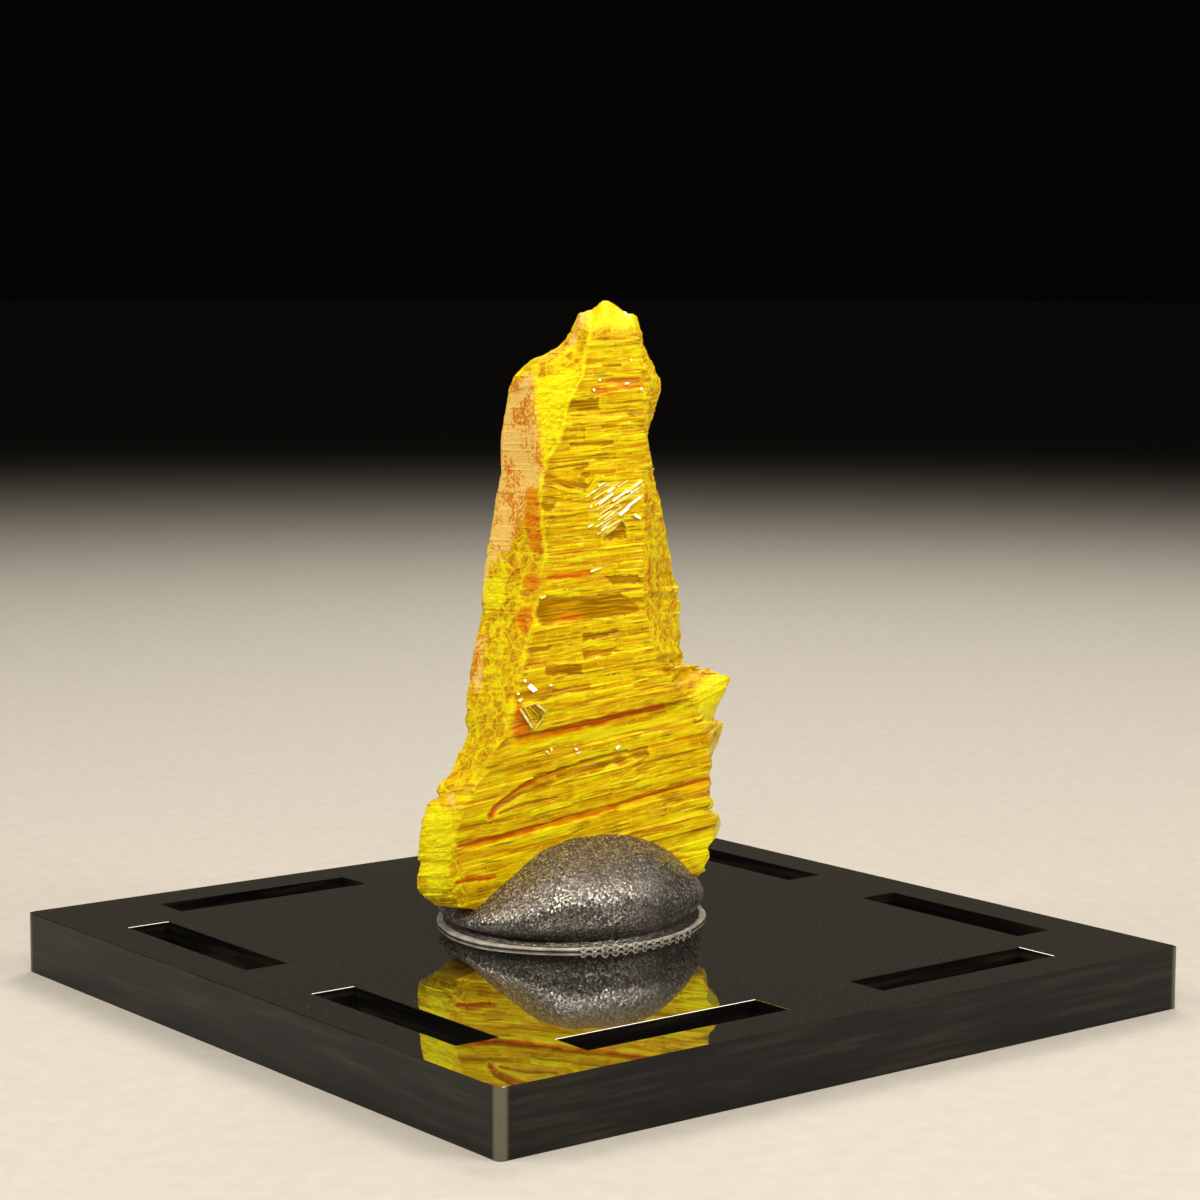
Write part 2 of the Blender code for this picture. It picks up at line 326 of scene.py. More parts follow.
@dataclass(frozen=True)
class Studio:
    """A pale floor painted darker into the distance as painted shade for light falling off, softboxes close
    to the object, and a dark room.
    """

    floor_side: float = 12.0
    floor_colour: str = "#C9C6C0"
    pale_within: float = 130.0
    dark_beyond: float = 520.0
    low_colour: str = "#050504"
    high_colour: str = "#464037"
    dark_up_to: float = math.sin(math.radians(6.5))
    bright_from: float = math.sin(math.radians(10.0))
    softboxes: tuple[Softbox, ...] = (
        KEY_LIGHT,
        Softbox("left_softbox", -72, 34, 260, 120, 0.29),
        Softbox("right_softbox", 66, 36, 260, 120, 0.33),
        Softbox("top_softbox", 20, 82, 260, 160, 0.16),
        Softbox("rear_softbox", 170, 50, 260, 120, 0.30),
    )

    def surround(self) -> None:
        """Adds the dark surround. It is darkest near the horizon, where the floor fades out, and
        a little lighter above it, where the plate's polished top mirrors it."""
        world = bpy.data.worlds.new("dark_studio")
        world.use_nodes = True
        tree = world.node_tree
        way = add_node(tree, "SeparateXYZ", {}, {0: add_node(tree, "TexCoord").outputs["Generated"]})
        share = add_node(tree, "MapRange", {"From Min": self.dark_up_to, "From Max": self.bright_from},
                         {"Value": way.outputs["Z"]})
        shade = add_node(tree, "ValToRGB", {"stops": [(0.0, self.low_colour), (1.0, self.high_colour)]},
                         {"Fac": share.outputs[0]})
        tree.links.new(shade.outputs["Color"], tree.nodes["Background"].inputs["Color"])
        bpy.context.scene.world = world

    def floor(self) -> None:
        """Adds the floor."""
        deselect()
        bpy.ops.mesh.primitive_plane_add(size=self.floor_side)
        floor = bpy.context.active_object
        floor.name = "studio_floor"
        material, tree, shader = new_material("matt_paper_floor", {
            "Roughness": 0.9, "Specular IOR Level": 0.2})
        place = add_node(tree, "TexCoord").outputs["Object"]
        fibre = add_node(tree, "TexNoise", {"Scale": 900.0, "Detail": 2.0}, {"Vector": place})
        shade = add_node(tree, "ValToRGB", {"stops": [(0.3, "#C3C0BA"), (0.7, self.floor_colour)]},
                         {"Fac": fibre.outputs["Fac"]})
        away = add_node(tree, "VectorMath", {"operation": "LENGTH"}, {0: place})
        # Painted shade: the floor's colour fades to black with distance, standing in for light falling off.
        falloff_shade = add_node(tree, "MapRange", {
            "interpolation_type": "SMOOTHERSTEP", "From Min": self.pale_within * MM,
            "From Max": self.dark_beyond * MM}, {"Value": away.outputs["Value"]})
        colour = add_node(tree, "Mix", {"data_type": "RGBA", 7: linear("#000000")},
                          {0: falloff_shade.outputs[0], 6: shade.outputs["Color"]})
        tree.links.new(colour.outputs[2], shader.inputs["Base Color"])
        floor.data.materials.append(material)

    def build(self) -> None:
        """Adds the floor, the lights and the dark surround."""
        self.floor()
        for softbox in self.softboxes:
            softbox.build()
        self.surround()
        bpy.context.scene.view_settings.view_transform = "Standard"


class Mark(Enum):
    """Point attributes that the specimen's mesh carries for its finish, painted shade and painted light among
    them.
    """

    # Painted shade and light: darker in the relief's hollows, lighter on its raised parts.
    RELIEF = "relief"
    # Part random, part painted shade: each run is coloured lighter the further it stands out.
    TONE = "tone"
    SKIN = "skin"
    WINDOW = "window"
    ORANGE = "orange"
    LEMON = "lemon"
    GRAIN = "grain"


SHEETS = "sheets"
SHEETS_UNIT = 50.0


@dataclass(frozen=True)
class CleavedOrpiment:
    """Orpiment split along its perfect cleavage: stacked sheet edges in lemon to amber, with a
    resinous shine. Thin parts are clear and look olive where the eye sees into them."""

    name: str = "orpiment_cleaved"
    fibre_thick: float = 0.11
    fibre_run: float = 1.9
    gap_shade_thick: float = 0.13
    gap_shade_run: float = 1.6
    crest_highlight_thick: float = 0.1
    crest_highlight_run: float = 0.8
    facet_size: float = 0.62
    grain_size: float = 0.16
    glow_depth: float = 0.35

    def material(self) -> bpy.types.Material:
        """Builds the finish."""
        material, tree, shader = new_material(self.name, {
            "IOR": 1.7, "Specular Tint": linear("#FFE060"), "Subsurface Weight": 0.12,
            "Subsurface Radius": (1.0, 0.45, 0.02), "Subsurface Scale": self.glow_depth * MM})
        marks = {mark: add_node(tree, "Attribute", {"attribute_name": mark.value}).outputs["Fac"]
                 for mark in Mark}
        sheets = add_node(tree, "UVMap", {"uv_map": SHEETS}).outputs["UV"]
        place = add_node(tree, "TexCoord").outputs["Object"]
        fine_map = add_node(tree, "Mapping", {"Scale": (
            SHEETS_UNIT / self.fibre_run, SHEETS_UNIT / self.fibre_thick, 1.0)}, {"Vector": sheets})
        fine = add_node(tree, "TexNoise", {"noise_dimensions": "2D", "Scale": 1.0, "Detail": 3.0,
                                           "Roughness": 0.6}, {"Vector": fine_map.outputs["Vector"]})
        broad_map = add_node(tree, "Mapping", {"Scale": (
            SHEETS_UNIT / (2.2 * self.fibre_run), SHEETS_UNIT / (4 * self.fibre_thick), 1.0)},
            {"Vector": sheets})
        broad = add_node(tree, "TexNoise", {"noise_dimensions": "2D", "Scale": 1.0, "Detail": 2.0},
                         {"Vector": broad_map.outputs["Vector"]})
        grain = add_node(tree, "TexNoise", {"Scale": 1 / (self.grain_size * MM), "Detail": 4.0,
                                            "Roughness": 0.65}, {"Vector": place})
        patches = add_node(tree, "TexNoise", {"Scale": 1 / (1.1 * MM), "Detail": 3.0}, {"Vector": place})

        lines = add_node(tree, "Math", {"operation": "MULTIPLY_ADD", 1: 0.9, 2: -0.35},
                         {0: fine.outputs["Fac"]})
        # The relief mask paints shade into the fibres' hollows and light onto their raised parts.
        shine = add_node(tree, "Math", {"operation": "MULTIPLY_ADD", 1: 0.4},
                         {0: marks[Mark.RELIEF], 2: lines.outputs[0]})
        wide = add_node(tree, "Math", {"operation": "MULTIPLY_ADD", 1: 0.55},
                        {0: broad.outputs["Fac"], 2: shine.outputs[0]})
        # Painted shade: sunk runs darker, raised runs lighter.
        toned = add_node(tree, "Math", {"operation": "MULTIPLY_ADD", 1: 0.14},
                         {0: marks[Mark.TONE], 2: wide.outputs[0]})
        smooth_fibres = add_node(tree, "ValToRGB", {"stops": [
            (0.30, "#B07A00"), (0.46, "#CC9800"), (0.58, "#DCAC00"), (0.72, "#E4C200"), (0.95, "#EEE400")]},
            {"Fac": toned.outputs[0]})
        # Painted shade: dark lines between the fibres, where shade falls in the slits between them.
        gap_shade = self.lines(tree, sheets, patches.outputs["Fac"], (self.gap_shade_run, self.gap_shade_thick), (0.57, 0.68))
        gap_shaded = add_node(tree, "Mix", {"data_type": "RGBA", 7: linear("#8E6400")},
                         {0: gap_shade, 6: smooth_fibres.outputs["Color"]})
        # Painted highlight: bright lemon lines along the fibres' raised edges.
        crest_highlight = self.lines(tree, sheets, broad.outputs["Fac"], (self.crest_highlight_run, self.crest_highlight_thick),
                            (0.6, 0.7))
        crest_lit = add_node(tree, "Mix", {"data_type": "RGBA", 7: linear("#F2EC20")},
                           {0: crest_highlight, 6: gap_shaded.outputs[2]})
        speck_size = add_node(tree, "TexNoise", {"Scale": 1 / (0.13 * MM), "Detail": 1.0}, {"Vector": place})
        specks = add_node(tree, "MapRange", {"From Min": 0.66, "From Max": 0.72, "To Max": 0.75},
                          {"Value": speck_size.outputs["Fac"]})
        fibres = add_node(tree, "Mix", {"data_type": "RGBA", 7: linear("#F4F020")},
                          {0: specks.outputs[0], 6: crest_lit.outputs[2]})

        pane_level = add_node(tree, "Math", {"operation": "MULTIPLY_ADD", 1: 1.6, 2: -0.35},
                              {0: fine.outputs["Fac"]})
        panes = add_node(tree, "ValToRGB", {"stops": [
            (0.15, "#8A6200"), (0.42, "#A87600"), (0.6, "#C89200"), (0.85, "#E4B800")]},
            {"Fac": pane_level.outputs[0]})
        # Painted shade in the grains' hollows, painted light on their tops.
        grain_level = add_node(tree, "Math", {"operation": "MULTIPLY_ADD", 1: 0.5},
                               {0: marks[Mark.RELIEF], 2: grain.outputs["Fac"]})
        plain_grains = add_node(tree, "ValToRGB", {"stops": [
            (0.45, "#BE8600"), (0.6, "#D4A200"), (0.74, "#DEBA00"), (0.92, "#E8DA00")]},
            {"Fac": grain_level.outputs[0]})
        grains = self.painted_facet_light(tree, place, plain_grains.outputs["Color"])
        skin_level = add_node(tree, "Math", {"operation": "MULTIPLY_ADD", 1: 1.1},
                              {0: grain.outputs["Fac"], 2: patches.outputs["Fac"]})
        skins = add_node(tree, "ValToRGB", {"stops": [
            (0.86, "#CF7616"), (0.98, "#DF9A24"), (1.1, "#E6AE36"), (1.26, "#EEC66C")]},
            {"Fac": skin_level.outputs[0]})
        # Painted shade in the hollows of the orange bands, painted light on their raised parts.
        orange_level = add_node(tree, "Math", {"operation": "MULTIPLY_ADD", 1: 0.4},
                                {0: marks[Mark.RELIEF], 2: fine.outputs["Fac"]})
        oranges = add_node(tree, "ValToRGB", {"stops": [
            (0.42, "#C05200"), (0.62, "#D67200"), (0.85, "#E29C00")]}, {"Fac": orange_level.outputs[0]})

        colour = fibres.outputs[2]
        for mark, layer, streaks in ((Mark.GRAIN, grains, grain), (Mark.WINDOW, panes.outputs["Color"], fine),
                                     (Mark.SKIN, skins.outputs["Color"], grain),
                                     (Mark.ORANGE, oranges.outputs["Color"], broad)):
            ragged = add_node(tree, "Math", {"operation": "MULTIPLY_ADD", 1: 1.2, 2: -0.9},
                              {0: streaks.outputs["Fac"]})
            cover = add_node(tree, "Math", {"operation": "MULTIPLY_ADD", 1: 1.7, "use_clamp": True},
                             {0: marks[mark], 2: ragged.outputs[0]})
            mixed = add_node(tree, "Mix", {"data_type": "RGBA"},
                             {0: cover.outputs[0], 6: colour, 7: layer})
            colour = mixed.outputs[2]
        lemon = add_node(tree, "Mix", {"data_type": "RGBA", 7: linear("#F2EC08")},
                         {0: marks[Mark.LEMON], 6: colour})
        tree.links.new(lemon.outputs[2], shader.inputs["Base Color"])

        matt = add_node(tree, "Math", {"operation": "MAXIMUM"},
                        {0: marks[Mark.GRAIN], 1: marks[Mark.SKIN]})
        rough = add_node(tree, "MapRange", {"From Max": 1.0, "To Min": 0.36, "To Max": 0.62},
                         {"Value": matt.outputs[0]})
        glassy = add_node(tree, "Math", {"operation": "MULTIPLY_ADD", 1: -0.2},
                          {0: marks[Mark.WINDOW], 2: rough.outputs[0]})
        tree.links.new(glassy.outputs[0], shader.inputs["Roughness"])

        fibre_bump = add_node(tree, "Bump", {"Strength": 0.55, "Distance": 0.03 * MM},
                              {"Height": fine.outputs["Fac"]})
        grain_bump = add_node(tree, "Bump", {"Distance": 0.05 * MM},
                              {"Height": grain.outputs["Fac"], "Normal": fibre_bump.outputs["Normal"],
                               "Strength": matt.outputs[0]})
        tree.links.new(grain_bump.outputs["Normal"], shader.inputs["Normal"])
        return material

    def painted_facet_light(self, tree: bpy.types.NodeTree, place: bpy.types.NodeSocket,
               colour: bpy.types.NodeSocket) -> bpy.types.NodeSocket:
        """Breaks a colour into small cells, each shaded as a facet turned its own way to the light (painted
        shade), with a painted lemon highlight along its edge.
        """
        cell = {"Scale": 1 / (self.facet_size * MM)}
        cells = add_node(tree, "TexVoronoi", cell, {"Vector": place})
        edges = add_node(tree, "TexVoronoi", {**cell, "feature": "DISTANCE_TO_EDGE"}, {"Vector": place})
        # Painted shade: each cell coloured darker or lighter as if turned its own way to the light.
        shades = add_node(tree, "ValToRGB", {"stops": [
            (0.0, "#E0B070"), (0.3, "#F0D8B0"), (0.6, "#FFFFFF"), (1.0, "#FFFFE8")]},
            {"Fac": add_node(tree, "SeparateColor", {}, {"Color": cells.outputs["Color"]}).outputs["Red"]})
        shaded = add_node(tree, "Mix", {"data_type": "RGBA", "blend_type": "MULTIPLY", 0: 0.8},
                          {6: colour, 7: shades.outputs["Color"]})
        # Painted highlight: lemon along each cell's edge.
        edge = add_node(tree, "MapRange", {"From Min": 0.07, "From Max": 0.02, "To Max": 0.6},
                        {"Value": edges.outputs["Distance"]})
        return add_node(tree, "Mix", {"data_type": "RGBA", 7: linear("#EEE400")},
                        {0: edge.outputs[0], 6: shaded.outputs[2]}).outputs[2]

    def lines(self, tree: bpy.types.NodeTree, sheets: bpy.types.NodeSocket, clusters: bpy.types.NodeSocket,
              size: tuple[float, float], limits: tuple[float, float]) -> bpy.types.NodeSocket:
        """Draws thin lines along the sheets, in clusters.

        Args:
            tree: the material's node tree.
            sheets: the coordinates along the sheets.
            clusters: noise that says where the lines come close together.
            size: how long and how thick a line is, in millimetres.
            limits: the noise values between which a line fades in.

        Returns:
            The socket with the lines' strength.
        """
        line_map = add_node(tree, "Mapping", {"Location": (7.3 * size[0], 2.9, 0.0), "Scale": (
            SHEETS_UNIT / size[0], SHEETS_UNIT / size[1], 1.0)}, {"Vector": sheets})
        noise = add_node(tree, "TexNoise", {"noise_dimensions": "2D", "Scale": 1.0, "Detail": 1.0},
                         {"Vector": line_map.outputs["Vector"]})
        thin = add_node(tree, "MapRange", {"From Min": limits[0], "From Max": limits[1]},
                        {"Value": noise.outputs["Fac"]})
        patchy = add_node(tree, "MapRange", {"From Min": 0.44, "From Max": 0.58, "To Max": 0.85},
                          {"Value": clusters})
        return add_node(tree, "Math", {"operation": "MULTIPLY"},
                        {0: thin.outputs[0], 1: patchy.outputs[0]}).outputs[0]


@dataclass(frozen=True)
class ClearOrpiment:
    """Thin clear cleavage flakes and laths: glassy, flashing white where they catch a lamp."""

    name: str
    dark: str
    light: str
    roughness: float
    ior: float

    def material(self) -> bpy.types.Material:
        """Builds the finish."""
        material, tree, shader = new_material(self.name, {"Roughness": self.roughness, "IOR": self.ior})
        place = add_node(tree, "TexCoord")
        streaks = add_node(tree, "TexNoise", {"Scale": 1 / (0.22 * MM), "Detail": 2.0},
                           {"Vector": place.outputs["Object"]})
        tint = add_node(tree, "ValToRGB", {"stops": [(0.35, self.dark), (0.6, self.light)]},
                        {"Fac": streaks.outputs["Fac"]})
        tree.links.new(tint.outputs["Color"], shader.inputs["Base Color"])
        return material


FLASHING = ClearOrpiment("orpiment_clear_facets", "#E0D020", "#FFFBA0", 0.2, 2.7)
LEMON_LATHS = ClearOrpiment("orpiment_lemon_laths", "#CFA800", "#EBDC08", 0.38, 1.9)
OLIVE_PANES = ClearOrpiment("orpiment_olive_panes", "#6A5000", "#A88600", 0.22, 1.9)


@dataclass(frozen=True)
class FlakedPutty:
    """Graphite-grey mounting putty: a soft satin lump full of fine metallic flakes that glitter."""

    name: str = "grey_putty_metallic"
    flake: float = 0.085
    relief: float = 0.35

    def material(self) -> bpy.types.Material:
        """Builds the finish."""
        material, tree, shader = new_material(self.name, {"IOR": 1.5})
        place = add_node(tree, "TexCoord").outputs["Object"]
        bend = add_node(tree, "TexNoise", {"Scale": 1 / (0.3 * MM), "Detail": 1.0}, {"Vector": place})
        bent = add_node(tree, "VectorMath", {"operation": "MULTIPLY_ADD", 1: (0.16 * MM,) * 3},
                        {0: bend.outputs["Color"], 2: place})
        flakes = add_node(tree, "TexVoronoi", {"Scale": 1 / (self.flake * MM)}, {"Vector": bent.outputs[0]})
        parts = add_node(tree, "SeparateColor", {}, {"Color": flakes.outputs["Color"]})
        shade = add_node(tree, "ValToRGB", {"stops": [
            (0.0, "#5A5853"), (0.45, "#807D77"), (0.75, "#A6A39B"), (0.93, "#D8D5CE"), (1.0, "#FAF8F4")]},
            {"Fac": parts.outputs["Red"]})
        hues = add_node(tree, "ValToRGB", {"stops": [
            (0.0, "#D8B8D8"), (0.3, "#E8E8E8"), (0.6, "#C8D8C0"), (0.8, "#D8D0F0"), (1.0, "#F0D8B8")]},
            {"Fac": parts.outputs["Green"]})
        tinted = add_node(tree, "Mix", {"data_type": "RGBA", "blend_type": "MULTIPLY", 0: 0.7},
                          {6: shade.outputs["Color"], 7: hues.outputs["Color"]})
        tree.links.new(tinted.outputs[2], shader.inputs["Base Color"])
        metal = add_node(tree, "MapRange", {"To Min": 0.7, "To Max": 1.0}, {"Value": parts.outputs["Blue"]})
        tree.links.new(metal.outputs[0], shader.inputs["Metallic"])
        rough = add_node(tree, "MapRange", {"To Min": 0.28, "To Max": 0.55},
                         {"Value": parts.outputs["Green"]})
        tree.links.new(rough.outputs[0], shader.inputs["Roughness"])
        tilt = add_node(tree, "VectorMath", {"operation": "MULTIPLY_ADD", 1: (0.44,) * 3, 2: (-0.22,) * 3},
                        {0: flakes.outputs["Color"]})
        waves = add_node(tree, "TexNoise", {
            "Scale": 1 / (self.relief * MM), "Detail": 3.0, "Distortion": 0.6}, {"Vector": place})
        wave_bump = add_node(tree, "Bump", {"Strength": 0.6, "Distance": 0.07 * MM},
                             {"Height": waves.outputs["Fac"]})
        tilted = add_node(tree, "VectorMath", {"operation": "ADD"},
                          {0: wave_bump.outputs["Normal"], 1: tilt.outputs[0]})
        unit = add_node(tree, "VectorMath", {"operation": "NORMALIZE"}, {0: tilted.outputs[0]})
        tree.links.new(unit.outputs[0], shader.inputs["Normal"])
        return material


@dataclass(frozen=True)
class PolishedAcrylic:
    """The polished face of black cast acrylic: a deep black mirror with a little dust on it."""

    name: str = "black_acrylic_polished"
    dust_size: float = 0.13

    def material(self) -> bpy.types.Material:
        """Builds the finish."""
        material, tree, shader = new_material(self.name, {
            "IOR": 2.5, "Roughness": 0.03, "Coat Weight": 1.0, "Coat IOR": 2.0, "Coat Roughness": 0.02})
        place = add_node(tree, "TexCoord").outputs["Object"]
        dust = add_node(tree, "TexNoise", {"Scale": 1 / (self.dust_size * MM), "Detail": 0.0},
                        {"Vector": place})
        specks = add_node(tree, "ValToRGB", {"stops": [(0.76, "#0F0E0C"), (0.82, "#6E6A5C")]},
                          {"Fac": dust.outputs["Fac"]})
        tree.links.new(specks.outputs["Color"], shader.inputs["Base Color"])
        return material


@dataclass(frozen=True)
class LaserCutAcrylic:
    """The cut side of black cast acrylic: satin, with faint bands along it, and with a greyish
    painted highlight down the plate's corners."""

    name: str = "black_acrylic_laser_cut"
    band: float = 0.4
    corner_highlight_from: float = 19.62

    def material(self) -> bpy.types.Material:
        """Builds the finish."""
        material, tree, shader = new_material(self.name, {
            "IOR": 1.49, "Roughness": 0.42, "Specular IOR Level": 0.3})
        place = add_node(tree, "TexCoord").outputs["Object"]
        bands_map = add_node(tree, "Mapping", {"Scale": (150.0, 150.0, 1 / (self.band * MM))},
                             {"Vector": place})
        bands = add_node(tree, "TexNoise", {"Scale": 1.0, "Detail": 4.0}, {"Vector": bands_map.outputs[0]})
        shade = add_node(tree, "ValToRGB", {"stops": [
            (0.38, "#020202"), (0.52, "#0C0B09"), (0.7, "#282319")]}, {"Fac": bands.outputs["Fac"]})
        parts = add_node(tree, "SeparateXYZ", {}, {0: place})
        # Painted highlight: the colour turns light grey near the plate's rounded vertical corners.
        from_middle = [add_node(tree, "Math", {"operation": "ABSOLUTE"}, {0: parts.outputs[axis]})
                       for axis in ("X", "Y")]
        nearer = add_node(tree, "Math", {"operation": "MINIMUM"},
                          {0: from_middle[0].outputs[0], 1: from_middle[1].outputs[0]})
        corner = add_node(tree, "MapRange", {
            "From Min": (self.corner_highlight_from - 0.12) * MM, "From Max": (self.corner_highlight_from + 0.1) * MM,
            "To Max": 0.9}, {"Value": nearer.outputs[0]})
        colour = add_node(tree, "Mix", {"data_type": "RGBA", 7: linear("#6C675A")},
                          {0: corner.outputs[0], 6: shade.outputs["Color"]})
        tree.links.new(colour.outputs[2], shader.inputs["Base Color"])
        bump = add_node(tree, "Bump", {"Strength": 0.4, "Distance": 0.03 * MM},
                        {"Height": bands.outputs["Fac"]})
        tree.links.new(bump.outputs["Normal"], shader.inputs["Normal"])
        return material


@dataclass(frozen=True)
class MilkyGlue:
    """A thin film of dried clear glue: slightly milky, with a bright rim."""

    name: str = "clear_glue_dried"

    def material(self) -> bpy.types.Material:
        """Builds the finish."""
        material, tree, shader = new_material(self.name, {
            "Roughness": 0.16, "IOR": 1.47, "Transmission Weight": 0.2})
        place = add_node(tree, "TexCoord")
        haze = add_node(tree, "TexNoise", {"Scale": 1 / (0.5 * MM), "Detail": 3.0},
                        {"Vector": place.outputs["Object"]})
        tint = add_node(tree, "ValToRGB", {"stops": [(0.3, "#A8A498"), (0.7, "#E6E2D8")]},
                        {"Fac": haze.outputs["Fac"]})
        tree.links.new(tint.outputs["Color"], shader.inputs["Base Color"])
        return material


@dataclass
class DisplayPlate:
    """The laser-cut plate with slots for a hood, and fine chamfers on its edges."""

    side: float = 40.0
    thick: float = 3.0
    corner: float = 0.3
    slot_length: float = 11.0
    slot_width: float = 2.2
    slot_setback: float = 2.3
    slot_from_corner: float = 6.2
    edge: float = 0.05
    cut_below: float = 0.9

    def slot_boxes(self) -> list[tuple[float, float, float, float]]:
        """Returns the middle and the size of each slot along x and y."""
        across = self.side / 2 - self.slot_setback - self.slot_width / 2
        along = self.side / 2 - self.slot_from_corner - self.slot_length / 2
        found = []
        for one in (-1, 1):
            for other in (-1, 1):
                found.append((other * along, one * across, self.slot_length, self.slot_width))
                found.append((one * across, other * along, self.slot_width, self.slot_length))
        return found

    def build(self) -> bpy.types.Object:
        """Cuts the plate from a block and dresses it."""
        deselect()
        bpy.ops.mesh.primitive_cube_add(size=1.0, location=(0, 0, self.thick / 2 * MM),
                                        scale=(self.side * MM, self.side * MM, self.thick * MM))
        plate = bpy.context.active_object
        bpy.ops.object.transform_apply(location=True, rotation=True, scale=True)
        bpy.ops.object.mode_set(mode="EDIT")
        bpy.ops.mesh.select_mode(type="EDGE")
        bpy.ops.mesh.select_all(action="DESELECT")
        bpy.ops.object.mode_set(mode="OBJECT")
        for edge in plate.data.edges:
            low, high = (plate.data.vertices[v].co for v in edge.vertices)
            edge.select = abs(low.z - high.z) > MM
        bpy.ops.object.mode_set(mode="EDIT")
        bpy.ops.mesh.bevel(offset=self.corner * MM, segments=4, profile=0.5)
        bpy.ops.object.mode_set(mode="OBJECT")
        for x, y, length, width in self.slot_boxes():
            deselect()
            bpy.ops.mesh.primitive_cube_add(size=1.0, location=(x * MM, y * MM, self.thick / 2 * MM),
                                            scale=(length * MM, width * MM, 2 * self.thick * MM))
            cutter = bpy.context.active_object
            apply_modifier(plate, "BOOLEAN", operation="DIFFERENCE", solver="EXACT", object=cutter)
            bpy.data.objects.remove(cutter, do_unlink=True)
        apply_modifier(plate, "BEVEL", width=self.edge * MM, segments=2, limit_method="ANGLE",
                       angle_limit=math.radians(60))
        finish_piece(plate, "acrylic_plate", PolishedAcrylic().material(), "base_plate")
        plate.data.materials.append(LaserCutAcrylic().material())
        for face in plate.data.polygons:
            face.material_index = int(abs(face.normal.z) < self.cut_below)
        return plate


@dataclass(frozen=True)
class SpecimenFrame:
    """The specimen's own frame and the slope of its cleavage sheets."""

    place: tuple[float, float] = (-0.3, 0.8)
    turn: float = math.radians(-15.9)
    rise_stops: tuple[tuple[float, float], ...] = (
        (3.0, 0.19), (9.0, 0.19), (13.0, 0.15), (15.5, 0.12), (19.0, 0.065), (34.0, 0.065))

    def rise(self, level: Numbers) -> Numbers:
        """Returns how much the sheets at a level climb for each millimetre of reach."""
        return np.interp(level, *zip(*self.rise_stops))

    def to_row(self, points: Numbers) -> Numbers:
        """Turns rows of reach, depth and height into rows of x, y and z."""
        cos, sin = math.cos(self.turn), math.sin(self.turn)
        return np.stack([self.place[0] + points[..., 0] * cos - points[..., 1] * sin,
                         self.place[1] + points[..., 0] * sin + points[..., 1] * cos,
                         points[..., 2]], axis=-1)

    def from_row(self, points: Numbers) -> Numbers:
        """Turns rows of x, y and z into rows of reach, depth and height."""
        cos, sin = math.cos(self.turn), math.sin(self.turn)
        x, y = points[..., 0] - self.place[0], points[..., 1] - self.place[1]
        return np.stack([x * cos + y * sin, y * cos - x * sin, points[..., 2]], axis=-1)


SPECIMEN_FRAME = SpecimenFrame()


@dataclass(frozen=True)
class SheetPattern:
    """One size of broken sheets: how thick they are, how long a run stays whole and how far the
    runs stand in or out, in millimetres."""

    thick: float
    run: float
    step: float
    seed: int
    reach_of_levels: float = 45.0

    def number(self, level: Numbers) -> Numbers:
        """Returns which sheet each level is in."""
        chance = np.random.default_rng(self.seed)
        cuts = np.cumsum(self.thick * chance.uniform(0.35, 1.65, int(self.reach_of_levels / self.thick)))
        return np.searchsorted(cuts, level)

    def stand(self, along: Numbers, level: Numbers) -> Numbers:
        """Returns how far the surface stands out at each place.

        Args:
            along: distance along the sheet.
            level: level of the sheet.

        Returns:
            Distances in millimetres, from -step to +step.
        """
        sheet = self.number(level)
        run = self.run * (0.4 + 1.2 * scatter(self.seed, sheet))
        piece = np.floor((along + 9 * self.run * scatter(self.seed + 1, sheet)) / run)
        return self.step * (2 * scatter(self.seed + 2, sheet, piece) - 1)


@dataclass(frozen=True)
class Patch:
    """An area of the specimen by its outline in the photograph."""

    outline: tuple[Pixel, ...]
    feather: float = 3.0
    wobble: float = 2.0

    def cover(self, pixels: Numbers) -> Numbers:
        """Returns 1 inside the outline and 0 outside, with a soft, uneven border."""
        x, y = pixels[..., 0], pixels[..., 1]
        inside = np.zeros(x.shape, bool)
        nearest = np.full(x.shape, 1e9)
        corners = list(self.outline)
        for (x0, y0), (x1, y1) in zip(corners, corners[1:] + corners[:1]):
            crosses = (y0 > y) != (y1 > y)
            with np.errstate(divide="ignore", invalid="ignore"):
                edge_x = (x1 - x0) * (y - y0) / (y1 - y0 if y1 != y0 else 1e-9) + x0
            inside ^= crosses & (x < edge_x)
            nearest = np.minimum(nearest, distance_to(pixels, (x0, y0), (x1, y1)))
        signed = np.where(inside, nearest, -nearest)
        signed = signed + self.wobble * cloud(x / 5, y / 5, 31) + 0.5 * self.wobble * cloud(x / 2, y / 2, 32)
        return ease(-self.feather, self.feather, signed)


@dataclass(frozen=True)
class Streak:
    """A line on the specimen by its course in the photograph."""

    line: tuple[Pixel, ...]
    half: float
    feather: float = 1.5
    wobble: float = 0.5

    def cover(self, pixels: Numbers) -> Numbers:
        """Returns 1 on the line and 0 away from it."""
        nearest = np.full(pixels.shape[:-1], 1e9)
        for start, end in zip(self.line, self.line[1:]):
            nearest = np.minimum(nearest, distance_to(pixels, start, end))
        uneven = self.half * self.wobble * cloud(pixels[..., 0] / 9, pixels[..., 1] / 5, 41)
        return 1 - ease(self.half - self.feather, self.half + self.feather, nearest + uneven)


def distance_to(pixels: Numbers, start: Pixel, end: Pixel) -> Numbers:
    """Returns each pixel's distance from a stretch of line."""
    along = np.array(end, float) - np.array(start, float)
    offset = pixels - np.array(start, float)
    share = np.clip((offset @ along) / max(float(along @ along), 1e-9), 0, 1)
    return np.linalg.norm(offset - share[..., None] * along, axis=-1)


def across_at(line: tuple[Pixel, ...], y: Numbers) -> Numbers:
    """Returns the pixel x of a line that runs downwards, at each pixel y."""
    return np.interp(y, [pixel[1] for pixel in line], [pixel[0] for pixel in line])


